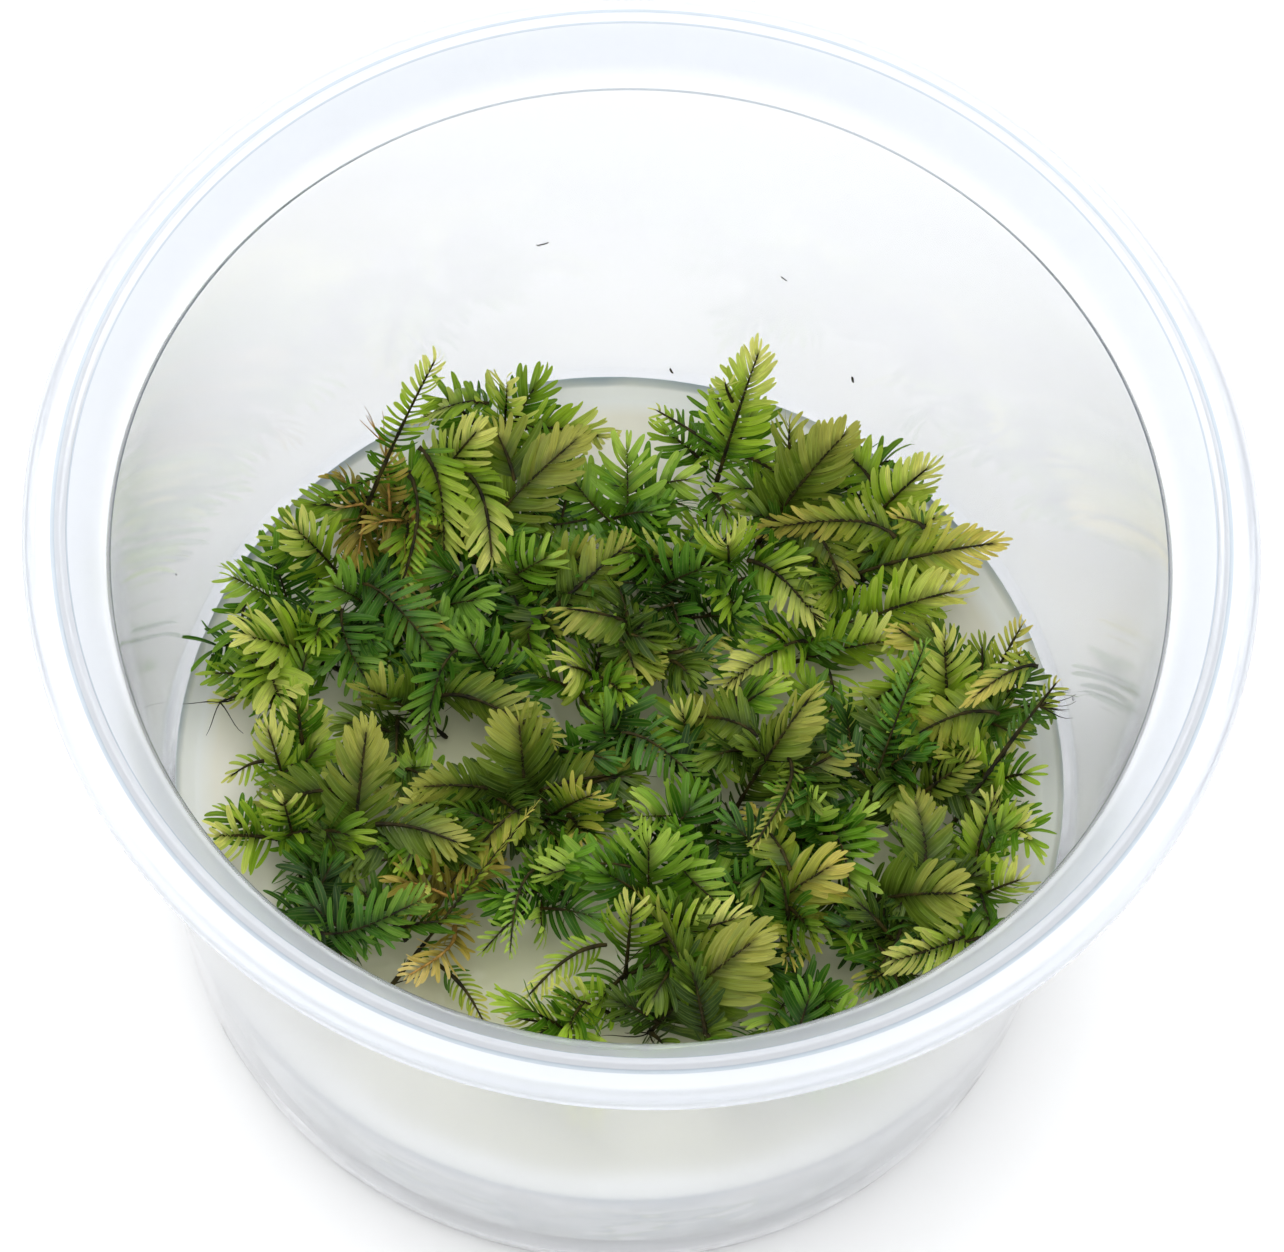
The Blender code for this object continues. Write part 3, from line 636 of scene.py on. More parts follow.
# Fronds that are narrower or barer in the photo than their solid: reach of the leaves,
# and share of the foot that is bare.
SPECIAL = {
    "sprig_back_2": {2: (0.9, 0.45)},
    "sprig_back_left_1": {1: (0.55, 0.3), 2: (0.85, 0.42)},
    "sprig_back_left_10": {0: (0.6, 0.3)},
    "sprig_back_left_2": {2: (0.55, 0.1)},
    "sprig_back_left_3": {1: (0.45, 0.5)},
    "sprig_back_right_3": {0: (0.8, 0.1)},
    "sprig_centre_9": {0: (0.8, 0.2)},
    "sprig_front_2": {0: (0.6, 0.2)},
    "sprig_front_4": {0: (0.7, 0.0)},
    "sprig_front_5": {0: (0.55, 0.2), 1: (0.55, 0.2)},
    "sprig_front_left_1": {1: (0.5, 0.3), 2: (0.9, 0.55)},
    "sprig_front_left_3": {2: (0.88, 0.2)},
    "sprig_front_left_4": {1: (0.8, 0.1)},
    "sprig_front_right_1": {1: (0.8, 0.2)},
    "sprig_right_2": {1: (0.85, 0.45), 2: (0.85, 0.35)},
    "sprig_right_3": {0: (0.8, 0.1), 2: (0.8, 0.55)},
    "sprig_right_4": {1: (0.8, 0.35)},
}

# Fronds that end sooner than their solid: share of their length that has grown.
CUT_SHORT = {
    "sprig_back_left_2": {2: 0.4},
    "sprig_back_right_3": {0: 0.4},
    "sprig_right_3": {0: 0.5},
    "sprig_front_left_4": {1: 0.6},
}


def shaped(name, lines):
    """Narrow each frond to the reach its leaves have in the photo, bare its foot and end it."""
    for i, stations in enumerate(lines):
        scale, bare = SPECIAL.get(name, {}).get(i, (1.0, 0.0))
        length = CUT_SHORT.get(name, {}).get(i, 1.0)
        del stations[max(FEWEST_STATIONS, round(length * len(stations))):]
        for j, station in enumerate(stations):
            station["reach"] *= REACH_SCALE * scale
            if j < bare * (len(stations) - 1):
                station["leafy"] = False
    return lines


LINES = {}
for name, node in NODES.items():
    if name.startswith("sprig"):
        LINES[name] = shaped(name, frond_lines(node))
print(len(LINES), "sprigs with", sum(len(lines) for lines in LINES.values()), "fronds")

# %% [markdown]
# ## Undergrowth
# Between the fronds of a real cushion there is hardly any bare ground: short shoots
# fill it. They are darker: their leaves are older, and they carry painted shade, the
# shade down in the cushion. Each sprig gets some of them. They spring from the lower
# part of its stems or from the gel below them, turn round by the golden angle, arch
# outwards, and stay inside the cup and over the gel. Where the photo shows bare gel,
# none grow. No two fronds of a cushion face the same way either, so each is rolled and
# twisted by a little chance, and its leaves lift or sag.

# %% How each frond is turned
MAIN_ROLL, SIDE_ROLL = radians(12), radians(34)
TWIST_MOST = radians(10)
SAG_RANGE = (-0.45, 0.25)


def turned_frond(stations, chance, most):
    """Roll and twist a frond's flat side about its stem, and let its leaves lift or sag."""
    roll = chance.uniform(-most, most)
    twist = chance.uniform(-TWIST_MOST, TWIST_MOST)
    sag = chance.uniform(*SAG_RANGE)
    for i, station in enumerate(stations):
        along = station["face"].cross(station["side"])
        turn = Matrix.Rotation(roll + twist * i, 3, along)
        station["face"] = turn @ station["face"]
        station["side"] = turn @ station["side"]
        station["sag"] = sag
        station["girth"] = 1.0
        station.setdefault("age", 0.0)


print("a side frond rolls up to", round(degrees(SIDE_ROLL)), "degrees")


# %% Short shoots round the foot of a sprig
UP = Vector((0, 0, 1))
GEL_TOP = GEL_LEVEL * MM
GOLDEN_ANGLE = radians(137.5)
SHOOTS_PER_FROND = 2
SHOOT_STATIONS = 5
# How much darker the undergrowth is: older leaves, and painted shade down in the cushion.
SHOOT_AGE_AND_SHADE = 0.7
SHOOT_ARCH = 0.5
SHOOT_START = (0.0, 0.55)
SHOOT_LIFT = (8, 50)
SHOOT_LENGTH, SHOOT_REACH = (3.5, 6.5), (2.4, 3.4)

# The highest that a shoot starts over the gel, the lowest it hangs, and the edge of the moss.
SHOOT_LIMIT, SHOOT_CLEAR = 4.0 * MM, 0.6 * MM
MOSS_LIMIT = 36.8 * MM

# Places on the plan where the gel stays bare, with their radius, in mm.
BARE_SPOTS = (
    (-12.5, -22.5, 5.0), (-5.5, -19.5, 4.5), (-33.5, -4.0, 3.5), (-16.0, 1.0, 3.0), (19.5, 10.5, 3.5),
)


def short_shoot(start, heading, lift, length, reach):
    """Stations up a short arching shoot."""
    outwards = Vector((cos(heading), sin(heading), 0))
    way = outwards * cos(lift) + UP * sin(lift)
    steps = [i / (SHOOT_STATIONS - 1) for i in range(SHOOT_STATIONS)]
    places = [start + (way * t + UP * SHOOT_ARCH * t * (1 - t)) * length for t in steps]
    for place in places:
        over = hypot(place.x, place.y) - MOSS_LIMIT
        if over > 0:
            place -= Vector((place.x, place.y, 0)).normalized() * over
        place.z = max(place.z, GEL_TOP + SHOOT_CLEAR)
    stations = []
    # Leaves are longest in the middle of a shoot.
    for i, (t, place) in enumerate(zip(steps, places)):
        low, high = places[max(0, i - 1)], places[min(len(places) - 1, i + 1)]
        along = (high - low).normalized()
        face = (UP - along * along.z + outwards * 0.05).normalized()
        stations.append({
            "place": place, "face": face, "side": along.cross(face).normalized(), "leafy": True,
            "age": SHOOT_AGE_AND_SHADE, "reach": reach * (0.75 + 0.45 * sin(pi * (0.15 + 0.6 * t))),
        })
    return stations


def over_bare_spot(place):
    """Whether a place is over a part of the gel that stays bare."""
    x, y = place.x / MM, place.y / MM
    return any(hypot(x - at_x, y - at_y) < radius for at_x, at_y, radius in BARE_SPOTS)


def undergrowth(lines, seed):
    """The short shoots of one sprig."""
    chance = random.Random(seed)
    turn = chance.uniform(0, tau)
    shoots = []
    for stations in lines:
        for _ in range(SHOOTS_PER_FROND):
            at = min(len(stations) - 2, int(chance.uniform(*SHOOT_START) * len(stations)))
            start = stations[at]["place"].lerp(stations[at + 1]["place"], chance.random())
            start.z = min(start.z, GEL_TOP + SHOOT_LIMIT)
            turn += GOLDEN_ANGLE
            lift = radians(chance.uniform(*SHOOT_LIFT))
            length = chance.uniform(*SHOOT_LENGTH) * MM
            shoot = short_shoot(start, turn, lift, length, chance.uniform(*SHOOT_REACH) * MM)
            if not any(over_bare_spot(s["place"]) for s in shoot):
                shoots.append(shoot)
    return shoots


print(SHOOTS_PER_FROND, "shoots for each frond,", len(BARE_SPOTS), "spots stay bare")

# %% [markdown]
# ## Roots and dry threads
# This moss holds on by fine brown roots at its foot. Two shoots in the photo also
# bear stiff bristles, and one ends in withered threads. All are hairs: thin, curled
# lines that go through the same tree as the fronds, and grow no leaves.

# %% Hairs
ROOTS_PER_SPRIG = 5
ROOT_DIP = 0.25
ROOT_LENGTH, ROOT_CURL = (2.0, 4.0), 0.5
THREAD_SHARE, THREAD_CURL = (0.7, 1.0), 0.35

# Frond, share up the frond, number, length in mm, heading, spread.
THREADS = {
    "sprig_back_left_2": (0, 1.0, 8, 5.0, (-0.30, 0.35, 0.85), 0.30),
    "sprig_right_3": (2, 0.62, 6, 3.4, (0.95, 0.15, 0.10), 0.30),
    "sprig_back_4": (0, 0.9, 5, 2.4, (0.6, -0.4, 0.3), 0.5),
}
HAIR_GIRTH, HAIR_STATIONS = 0.30, 6
HAIR_SWING, HAIR_SINKS = 2.2, 0.1 * MM


def hair(start, heading, length, curl):
    """Stations along a bare, thin, curled hair."""
    side = heading.cross(UP).normalized()
    stations = []
    for i in range(HAIR_STATIONS):
        t = i / (HAIR_STATIONS - 1)
        bend = side * sin(HAIR_SWING * t) + UP * t * t
        place = start + heading * length * t + bend * curl * length * t
        place.z = max(place.z, GEL_TOP - HAIR_SINKS)
        stations.append({"place": place, "face": UP, "side": side, "leafy": False, "reach": 0.0,
                         "age": 0.0, "sag": 0.0, "girth": HAIR_GIRTH})
    return stations


def hairs(name, lines, chance):
    """The roots of a sprig, and its threads if it has any."""
    made = []
    foot = min((s["place"] for s in lines[-1]), key=lambda place: place.z)
    for i in range(ROOTS_PER_SPRIG):
        turn = i * GOLDEN_ANGLE + chance.random()
        heading = Vector((cos(turn), sin(turn), -ROOT_DIP))
        length = chance.uniform(*ROOT_LENGTH) * MM
        made.append(hair(foot, heading, length, chance.uniform(-ROOT_CURL, ROOT_CURL)))
    if name in THREADS:
        frond, up, count, length, heading, spread = THREADS[name]
        stations = lines[frond]
        start = stations[round(up * (len(stations) - 1))]["place"]
        for i in range(count):
            stray = Vector([chance.uniform(-spread, spread) for _ in range(3)])
            way = (Vector(heading) + stray).normalized()
            grown_to = chance.uniform(*THREAD_SHARE) * length * MM
            made.append(hair(start, way, grown_to, chance.uniform(-THREAD_CURL, THREAD_CURL)))
    return made


print(ROOTS_PER_SPRIG, "roots for each sprig, and threads on", list(THREADS))

# %% All lines of each sprig
for seed, (name, lines) in enumerate(sorted(LINES.items())):
    chance = random.Random(1000 + seed)
    LINES[name] = lines + undergrowth(lines, seed)
    main = min(lines, key=lambda stations: stations[0]["place"].z)
    for stations in LINES[name]:
        turned_frond(stations, chance, MAIN_ROLL if stations is main else SIDE_ROLL)
    LINES[name] += hairs(name, lines, chance)
print("with undergrowth and hairs", sum(len(lines) for lines in LINES.values()), "lines")

# %% [markdown]
# ## One leaf
# A leaf of this moss is a flat strap, five or six times as long as it is wide, with
# a broad foot that clasps the stem, a blunt tip, and a rib down its middle. It is one
# cell thick, so it is a sheet and not a solid. It is repeated thousands of times, so
# it has few faces: three points across at each of a few places up the leaf. Leaves
# lie in two ranks, so left and right leaves are mirror images, and several forms of
# each keep the repeats from showing.

# %% Leaf meshes
# Share up the leaf, and its width there as a share of its widest.
LEAF_OUTLINE = ((0, 0.7), (0.14, 0.88), (0.36, 0.98), (0.56, 1), (0.78, 0.92), (0.91, 0.68), (0.975, 0.38))
# Bend towards the frond's tip, arch, hang of the tip, depth of the fold, and twist, in leaf widths.
LEAF_FORMS = (
    (0.45, 0.30, 0.55, 0.22, 0.20),
    (0.05, 0.45, 1.30, 0.16, -0.30),
    (0.75, 0.15, 0.20, 0.28, 0.40),
    (0.25, -0.25, -0.45, 0.20, 0.10),
)


def leaf_mesh(name, hand, bend, arch, hang, fold, twist):
    """A leaf one unit long and wide, that lies up Y with its upper side to Z."""
    points, uvs = [], []
    for along, width in LEAF_OUTLINE:
        x = -hand * bend * along ** 2
        z = arch * sin(pi * along) - hang * along ** 2
        for across in (-0.5, 0.0, 0.5):
            rise = fold * abs(across) + hand * twist * across * along
            points.append((x + across * width, along, z + rise * width))
            uvs.append((across + 0.5, along))
    points.append((-hand * bend, 1.0, -hang))
    uvs.append((0.5, 1.0))
    tip = len(points) - 1
    corners = [3 * i + j for i in range(len(LEAF_OUTLINE) - 1) for j in (0, 1)]
    faces = [(k, k + 1, k + 4, k + 3) for k in corners] + [(tip - 3, tip - 2, tip), (tip - 2, tip - 1, tip)]
    mesh = bpy.data.meshes.new(name)
    mesh.from_pydata(points, [], faces)
    layer = mesh.uv_layers.new(name="UVMap")
    for loop in mesh.loops:
        layer.data[loop.index].uv = uvs[loop.vertex_index]
    mesh.shade_smooth()
    return mesh


leaf_set = bpy.data.collections.new("leaf forms")
for hand, rank in ((-1, "left"), (1, "right")):
    for i, form in enumerate(LEAF_FORMS):
        name = f"leaf_{rank}_{i}"
        leaf_set.objects.link(bpy.data.objects.new(name, leaf_mesh(name, hand, *form)))

# %% [markdown]
# ## Leaves by rule
# Every frond follows the same rule, so Geometry Nodes grow them all. The tree takes
# the bare lines, smooths them, and puts a point at every third of a millimetre. Each
# point gets one leaf, left and right in turn. Near the foot the leaves stand off the
# stem, and near the tip they close up into a fan, so their angle falls with the share
# of the blade. A little chance in angle, roll and length makes it look grown. The
# same lines, with a thin profile, are the stems.

# %% Inputs of the tree
grower = bpy.data.node_groups.new("Leafy fronds", "GeometryNodeTree")
grower.interface.new_socket("Lines", in_out="INPUT", socket_type="NodeSocketGeometry")
SOCKETS = {}
for kind, defaults in (
    ("Float", {
        "Leaf spacing": 0.30 * MM, "Width to length": 0.18, "Low angle": radians(64),
        "Tip angle": radians(6), "Fan": 1.9, "Tip size": 0.6, "Roll": radians(14),
        "Wildness": 1.0, "Bare leaves": 0.5, "Stem radius": 0.22 * MM,
    }),
    ("Int", {"Seed": 0}),
    ("Collection", {"Leaf forms": None}),
    ("Material", {"Leaf material": None, "Stem material": None}),
):
    for label, value in defaults.items():
        made = grower.interface.new_socket(label, in_out="INPUT", socket_type="NodeSocket" + kind)
        if value is not None:
            made.default_value = value
        SOCKETS[label] = made.identifier
grower.interface.new_socket("Moss", in_out="OUTPUT", socket_type="NodeSocketGeometry")

g = grower
given = add(g, "NodeGroupInput").outputs
named = {}
for key in ("share", "up_stem", "reach", "sag", "girth", "side", "face"):
    kind = "FLOAT_VECTOR" if key in ("side", "face") else "FLOAT"
    named[key] = add(g, "GeometryNodeInputNamedAttribute", {"Name": key}, data_type=kind).outputs[0]
curve = add(g, "GeometryNodeMeshToCurve", {0: given["Lines"]})
curve = add(g, "GeometryNodeCurveSplineType", {0: curve}, spline_type="CATMULL_ROM")
points = add(g, "GeometryNodeCurveToPoints", {0: curve, 2: given["Leaf spacing"]}, mode="LENGTH")
print("tree inputs:", list(SOCKETS))

# %% A little chance for each leaf
luck = {}
for offset, (key, low, high) in enumerate((
    ("angle", -0.16, 0.16), ("droop", -0.20, 0.12), ("roll", -0.28, 0.28), ("length", 0.84, 1.04),
    ("width", 0.86, 1.14), ("stays", 0.0, 1.0), ("tone", 0.0, 1.0), ("knot", 0.75, 1.25),
)):
    seed = add(g, "ShaderNodeMath", {0: given["Seed"], 1: 11 * offset + 3}, operation="ADD")
    draw = add(g, "FunctionNodeRandomValue", {2: low, 3: high, 8: seed}, data_type="FLOAT")
    luck[key] = draw.outputs[1]
print("chances:", list(luck))

# %% Direction of each leaf
index = add(g, "GeometryNodeInputIndex")
rank = add(g, "ShaderNodeMath", {0: index, 1: 2.0}, operation="MODULO")
hand = add(g, "ShaderNodeMath", {0: rank, 1: 2.0, 2: -1.0}, operation="MULTIPLY_ADD")
blade = add(g, "ShaderNodeClamp", {0: named["share"]})
late = add(g, "ShaderNodeMath", {0: blade, 1: given["Fan"]}, operation="POWER")
angle = add(g, "ShaderNodeMapRange", {0: late, 3: given["Low angle"], 4: given["Tip angle"]})
angle, drop, lean = (
    add(g, "ShaderNodeMath", {0: luck[key], 1: given["Wildness"], 2: base}, operation="MULTIPLY_ADD")
    for key, base in (("angle", angle), ("droop", named["sag"]), ("roll", given["Roll"])))
cosine = add(g, "ShaderNodeMath", {0: angle}, operation="COSINE")
sine = add(g, "ShaderNodeMath", {0: angle}, operation="SINE")
sine = add(g, "ShaderNodeMath", {0: sine, 1: hand}, operation="MULTIPLY")
way = (0, 0, 0)
for part, share in ((points.outputs["Tangent"], cosine), (named["side"], sine), (named["face"], drop)):
    way = add(g, "ShaderNodeVectorMath", {0: part, 1: share, 2: way}, operation="MULTIPLY_ADD")
turn = add(g, "FunctionNodeAxesToRotation",
           {0: way, 1: named["face"]}, primary_axis="Y", secondary_axis="Z")
lean = add(g, "ShaderNodeMath", {0: lean, 1: hand}, operation="MULTIPLY")
roll = add(g, "FunctionNodeAxisAngleToRotation", {0: (0, 1, 0), 1: lean})
turn = add(g, "FunctionNodeRotateRotation", {0: turn, 1: roll}, rotation_space="LOCAL")
print("a leaf's direction takes", len(g.nodes), "nodes so far")

# %% Size of each leaf, and the leaves themselves
FORMS = len(LEAF_FORMS)
YOUNG_FROM = 0.55
young = add(g, "ShaderNodeMapRange", {0: blade, 1: YOUNG_FROM, 2: 1.0, 3: 1.0, 4: given["Tip size"]})
length = named["reach"]
for factor in (luck["length"], young):
    length = add(g, "ShaderNodeMath", {0: length, 1: factor}, operation="MULTIPLY")
width = length
for factor in (given["Width to length"], luck["width"]):
    width = add(g, "ShaderNodeMath", {0: width, 1: factor}, operation="MULTIPLY")
size = add(g, "ShaderNodeCombineXYZ", {0: width, 1: length, 2: width})
kept = add(g, "ShaderNodeMath", {0: named["share"], 1: luck["stays"]}, operation="ADD")
kept = add(g, "ShaderNodeMath", {0: kept, 1: given["Bare leaves"]}, operation="ADD")
kept = add(g, "FunctionNodeCompare", {0: kept, 1: 0.0}, operation="GREATER_THAN")
form = add(g, "FunctionNodeRandomValue", {4: 0, 5: FORMS - 1, 8: given["Seed"]}, data_type="INT").outputs[2]
picked = add(g, "ShaderNodeMath", {0: rank, 1: FORMS, 2: form}, operation="MULTIPLY_ADD")
forms = add(g, "GeometryNodeCollectionInfo", {0: given["Leaf forms"], 1: True})
dots = add(g, "GeometryNodeStoreNamedAttribute",
           {0: points.outputs["Points"], "Name": "tone", "Value": luck["tone"]}, data_type="FLOAT")
leaves = add(g, "GeometryNodeInstanceOnPoints",
             {0: dots, 1: kept, 2: forms, 3: True, 4: picked, 5: turn, 6: size})
leaves = add(g, "GeometryNodeRealizeInstances", {0: leaves})
leaves = add(g, "GeometryNodeSetMaterial", {0: leaves, 2: given["Leaf material"]})
print("leaves are picked from", FORMS, "forms for each side")

# %% Stems along the same lines
STEM_STEP = 0.6 * MM
STEM_SIDES = 5
FOOT_THICK, TOP_THICK = 1.1, 0.3
even = add(g, "GeometryNodeResampleCurve", {0: curve, 3: STEM_STEP}, mode="LENGTH")
thick = add(g, "ShaderNodeMapRange", {0: named["up_stem"], 3: FOOT_THICK, 4: TOP_THICK})
radius = given["Stem radius"]
for factor in (thick, luck["knot"], named["girth"]):
    radius = add(g, "ShaderNodeMath", {0: radius, 1: factor}, operation="MULTIPLY")
rod = add(g, "GeometryNodeCurvePrimitiveCircle", {0: STEM_SIDES, 4: 1.0})
stems = add(g, "GeometryNodeCurveToMesh", {0: even, 1: rod, 2: radius, 3: True})
stems = add(g, "GeometryNodeSetMaterial", {0: stems, 2: given["Stem material"]})
moss = add(g, "GeometryNodeJoinGeometry", {0: leaves})
g.links.new(stems.outputs[0], moss.inputs[0])
add(g, "NodeGroupOutput", {0: moss})
print("tree of", len(g.nodes), "nodes")

# %% [markdown]
# ## Leaf and stem
# A moss leaf is one cell thick: it glows yellow-green with the light behind it, and
# has a soft wet shine in front. So its shader mixes a Principled surface with a
# Translucent one. Old leaves low on a frond are dark, and young leaves at its tip
# are pale, which the share of the blade drives. The dark foot of a frond and the
# darker undergrowth also carry painted shade, the shade deep in the cushion. Each
# leaf has its own tone, a pale rib and border, and fine streaks of cells along it.
# Its foot is darkened towards the stem that it clasps, which is almost black: this is
# painted shade where leaf and stem meet.

# %% Colour of a leaf
# Dark, middle and pale colour of each kind, from the foot of a frond to its tip. The dark
# end is both the colour of older leaves and painted shade deep in the cushion.
LEAF_PAINTS = {
    "leaf_bright": ("#528410", "#aacb34", "#ecec80"),
    "leaf_green": ("#34680c", "#78ae22", "#bcd858"),
    "leaf_deep": ("#244e0c", "#528c24", "#8cb640"),
    "leaf_olive": ("#3a560e", "#728c24", "#bcbc54"),
    "leaf_amber": ("#8c8030", "#ccb650", "#ecd484"),
    "leaf_amber_tip": ("#427012", "#9cae32", "#e4d468"),
}
RIB_PAINT, RIB_PALE, BORDER_PALE = "#bccd6c", 0.22, 0.18
TONE_SHARE, LEAF_TIP_SHARE = 0.28, 0.25
STREAK_DARK, STREAK_LIGHT = 0.74, 1.20
# Painted shade at the foot of each leaf, where it clasps the stem: darkest at the foot.
FOOT_SHADE, FOOT_ENDS = 0.35, 0.38


def leaf_colour(tree, low, middle, tip):
    """Socket with a leaf's colour, from its place on the frond, its tone and its cells."""
    share, tone, age = (add(tree, "ShaderNodeAttribute", attribute_name=key).outputs["Fac"]
                        for key in ("share", "tone", "age"))
    spot = add(tree, "ShaderNodeUVMap", uv_map="UVMap")
    axes = add(tree, "ShaderNodeSeparateXYZ", {0: spot})
    # Darker towards the foot of a frond and in the undergrowth: older leaves, and painted shade.
    young = add(tree, "ShaderNodeMath", {0: share, 1: age}, operation="SUBTRACT")
    for part, share_of in ((tone, TONE_SHARE), (axes.outputs["Y"], LEAF_TIP_SHARE)):
        young = add(tree, "ShaderNodeMath", {0: part, 1: share_of, 2: young}, operation="MULTIPLY_ADD")
    ramp = add(tree, "ShaderNodeValToRGB", {0: young}, stops=((0.05, low), (1.0, tip), (0.55, middle)))
    from_rib = add(tree, "ShaderNodeMath", {0: axes.outputs["X"], 1: 0.5}, operation="SUBTRACT")
    from_rib = add(tree, "ShaderNodeMath", {0: from_rib}, operation="ABSOLUTE")
    rib = add(tree, "ShaderNodeMapRange", {0: from_rib, 1: 0.10, 2: 0.02, 4: RIB_PALE})
    border = add(tree, "ShaderNodeMapRange", {0: from_rib, 1: 0.40, 2: 0.49, 4: BORDER_PALE})
    lines = add(tree, "ShaderNodeMath", {0: rib, 1: border}, operation="ADD")
    pale = add(tree, "ShaderNodeMix", {0: lines, 6: ramp, 7: paint(RIB_PAINT)}, data_type="RGBA")
    grain = add(tree, "ShaderNodeVectorMath",
                {0: spot, 1: (9.0, 1.2, 1.0), 2: tone}, operation="MULTIPLY_ADD")
    cells = add(tree, "ShaderNodeTexNoise", {0: grain, "Scale": 1.8, "Detail": 1.0})
    streak = add(tree, "ShaderNodeMapRange", {0: cells, 1: 0.3, 2: 0.7, 3: STREAK_DARK, 4: STREAK_LIGHT})
    # Painted shade at the leaf's foot, fading out a little way up the leaf.
    foot = add(tree, "ShaderNodeMapRange", {0: axes.outputs["Y"], 2: FOOT_ENDS, 3: FOOT_SHADE})
    streak = add(tree, "ShaderNodeMath", {0: streak, 1: foot}, operation="MULTIPLY")
    colour = add(tree, "ShaderNodeVectorMath", {0: pale.outputs[2], "Scale": streak}, operation="SCALE")
    return colour.outputs[0]


print(len(LEAF_PAINTS), "kinds of leaf:", list(LEAF_PAINTS))

# %% Materials of the moss
GLOW = 0.5
BARK_SIZE = 1.2 * MM


def leaf_material(name, low, middle, tip):
    """A wet leaf that the light shines through."""
    made, tree, output = new_material(name.replace("leaf_", "moss leaf, "))
    colour = leaf_colour(tree, low, middle, tip)
    front = add(tree, "ShaderNodeBsdfPrincipled",
                {"Base Color": colour, "Roughness": 0.4, "Specular IOR Level": 0.35})
    glow = add(tree, "ShaderNodeBsdfTranslucent", {"Color": colour})
    both = add(tree, "ShaderNodeMixShader", {0: GLOW, 1: front, 2: glow})
    tree.links.new(both.outputs[0], output.inputs["Surface"])
    return made


def stem_material(name, dark, light):
    """A dull stem, mottled from dark to light."""
    made, tree, output = new_material(name)
    place = add(tree, "ShaderNodeTexCoord").outputs["Object"]
    bark = add(tree, "ShaderNodeTexNoise", {0: place, "Scale": 1 / BARK_SIZE, "Detail": 2.0})
    tint = add(tree, "ShaderNodeValToRGB", {0: bark}, stops=((0.35, dark), (0.70, light)))
    wood = add(tree, "ShaderNodeBsdfPrincipled",
               {"Base Color": tint, "Roughness": 0.6, "Specular IOR Level": 0.15})
    tree.links.new(wood.outputs[0], output.inputs["Surface"])
    return made


leaf_finish = {name: leaf_material(name, *paints) for name, paints in LEAF_PAINTS.items()}
stem_finish = stem_material("moss stem", "#16150a", "#3e3612")
withered_finish = stem_material("withered moss stem", "#7a5a20", "#d0a458")
print(len(leaf_finish), "leaf materials and two stems")

# %% [markdown]
# ## Growing the moss
# The lines of each sprig go through the tree once. The result is turned into a plain
# mesh, so that nothing is left to evaluate, and stands for the sprig's plain solid.

# %% How the kinds of frond differ
SLOT_OF = {part["node"]: part["material_slot"] for part in frame["record"]["subparts"]}
KINDS = {
    "leaf_bright": {"Low angle": radians(66), "Tip size": 0.72, "Wildness": 1.1},
    "leaf_green": {"Low angle": radians(78), "Fan": 1.5, "Wildness": 1.3, "Stem radius": 0.15 * MM},
    "leaf_deep": {"Low angle": radians(85), "Fan": 1.3, "Wildness": 1.4, "Stem radius": 0.15 * MM},
    "leaf_olive": {"Low angle": radians(60), "Wildness": 0.7},
    "leaf_amber": {"Wildness": 1.8, "Stem material": withered_finish},
    "leaf_amber_tip": {"Low angle": radians(58), "Wildness": 0.9},
}
print("kinds of frond:", list(KINDS))


# %% Sprigs
def grown(name, lines, leaves, inputs):
    """A plain mesh piece grown from frond lines, with the tree's inputs given by name."""
    seedling = placed(name, line_mesh(name, lines))
    modifier = seedling.modifiers.new("grow", "NODES")
    modifier.node_group = grower
    settings = {"Leaf forms": leaf_set, "Leaf material": leaves, "Stem material": stem_finish}
    for label, value in {**settings, **inputs}.items():
        modifier[SOCKETS[label]] = value
    depsgraph = bpy.context.evaluated_depsgraph_get()
    mesh = bpy.data.meshes.new_from_object(seedling.evaluated_get(depsgraph))
    # The materials read only the share. The rest was for the tree.
    for key in named:
        if key != "share" and key in mesh.attributes:
            mesh.attributes.remove(mesh.attributes[key])
    seedling.modifiers.remove(modifier)
    seedling.data = mesh
    return seedling


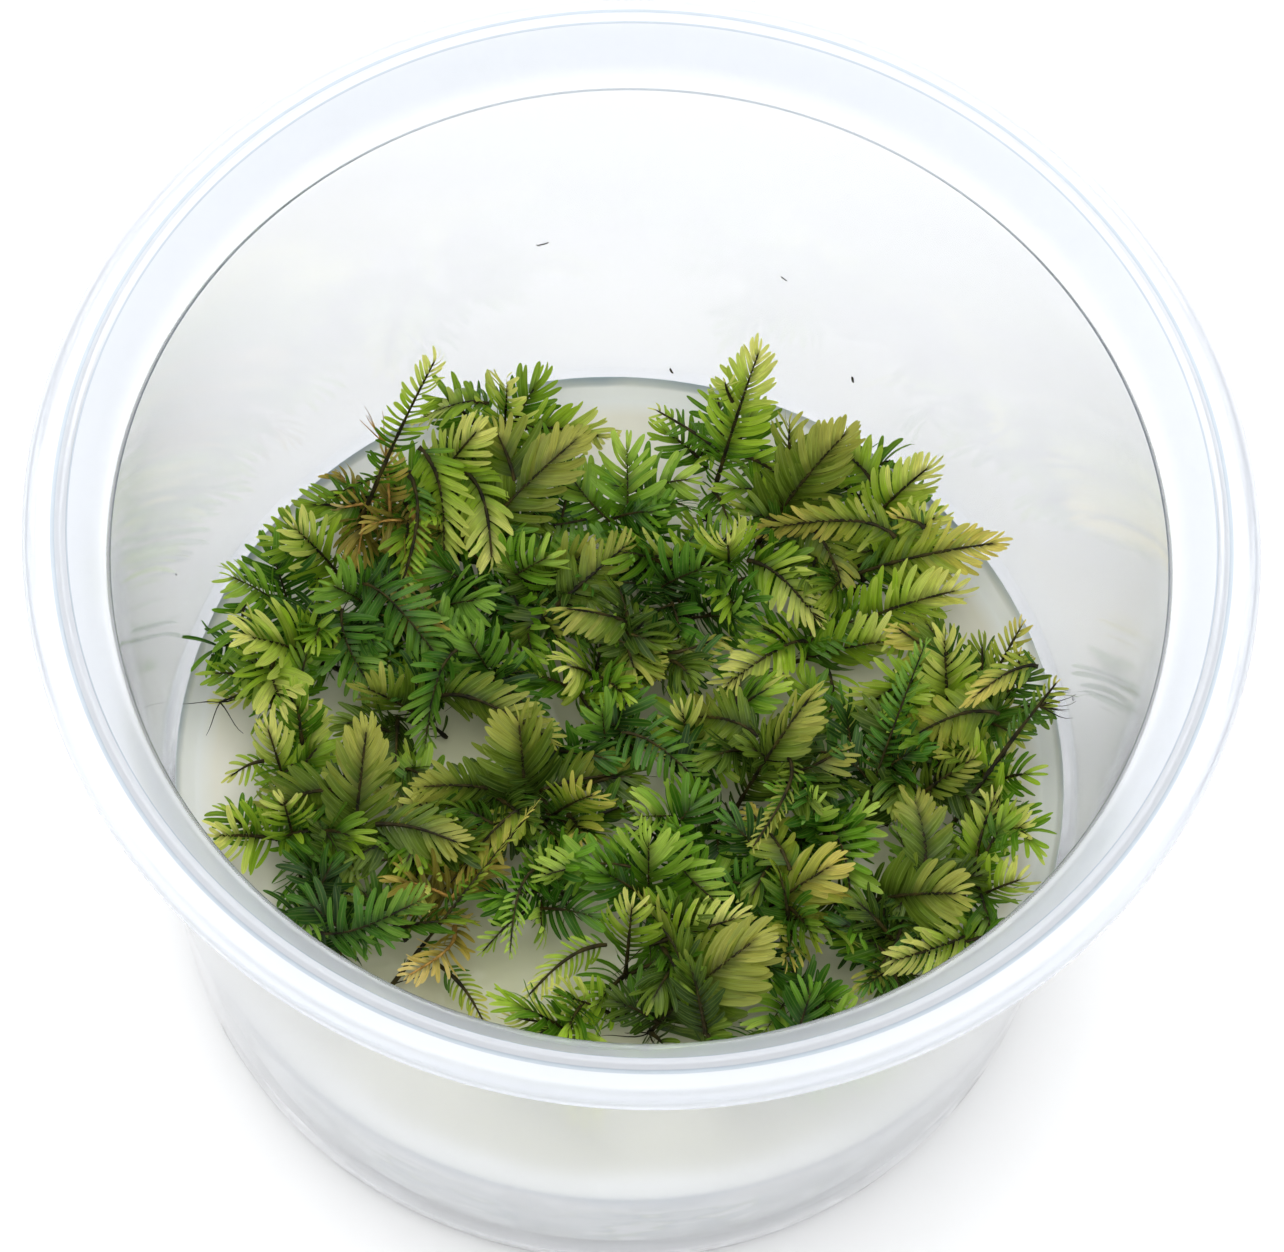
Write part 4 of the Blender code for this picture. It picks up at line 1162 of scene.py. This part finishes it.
triangles = {}
for seed, (name, lines) in enumerate(sorted(LINES.items())):
    slot = SLOT_OF[name]
    inputs = {"Seed": seed * 100, **KINDS[slot]}
    piece = grown(name.replace("sprig", "moss"), lines, leaf_finish[slot], inputs)
    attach(piece, "root")
    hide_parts(name)
    triangles[name] = sum(len(p.vertices) - 2 for p in piece.data.polygons)
print(sum(triangles.values()), "triangles of moss, the most in one sprig", max(triangles.values()))

# %% [markdown]
# ## Crumbs
# Planting by hand leaves a few broken leaves stuck to the wet wall. Each is a leaf
# form made small, narrow and flat, and its height says how far out the wall is.

# %% Crumbs of moss on the wall
# Place and length of each, in mm.
CRUMBS = (
    (-10.5, 39.8, 42.2, 0.9), (-11.2, 39.7, 41.8, 0.5), (10.0, 39.8, 40.0, 0.8), (1.4, 39.4, 20.6, 0.9),
    (17.3, 36.3, 29.2, 1.1), (38.9, 8.5, 25.2, 0.8), (-39.7, 8.3, 34.3, 0.6), (-31.0, -26.5, 33.0, 0.7),
)
CRUMB_GAP = 0.12
CRUMB_SHAPE = (0.25, 1, 0.1)
WALL_SLOPE = (SHOULDER_RADIUS - BASE_RADIUS + WALL) / (SHOULDER_HEIGHT - FLOOR)

bm = bmesh.new()
chance = random.Random(7)
for x, y, z, size in CRUMBS:
    inwards = Vector((-x, -y, 0)).normalized()
    wall_radius = BASE_RADIUS - WALL + WALL_SLOPE * (z - FLOOR)
    at = (UP * z - inwards * (wall_radius - CRUMB_GAP)) * MM
    turn = inwards.to_track_quat("Z", "Y").to_matrix() @ Matrix.Rotation(chance.uniform(0, tau), 3, "Z")
    leaf = leaf_set.objects[0].data.copy()
    leaf.transform(Matrix.Translation(at) @ (turn @ Matrix.Diagonal(CRUMB_SHAPE) * size * MM).to_4x4())
    bm.from_mesh(leaf)
crumb_mesh = bpy.data.meshes.new("moss_crumbs")
bm.to_mesh(crumb_mesh)
bm.free()
crumbs = placed("moss_crumbs", crumb_mesh, stem_finish)
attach(crumbs, "root")
print(len(CRUMBS), "crumbs on the wall")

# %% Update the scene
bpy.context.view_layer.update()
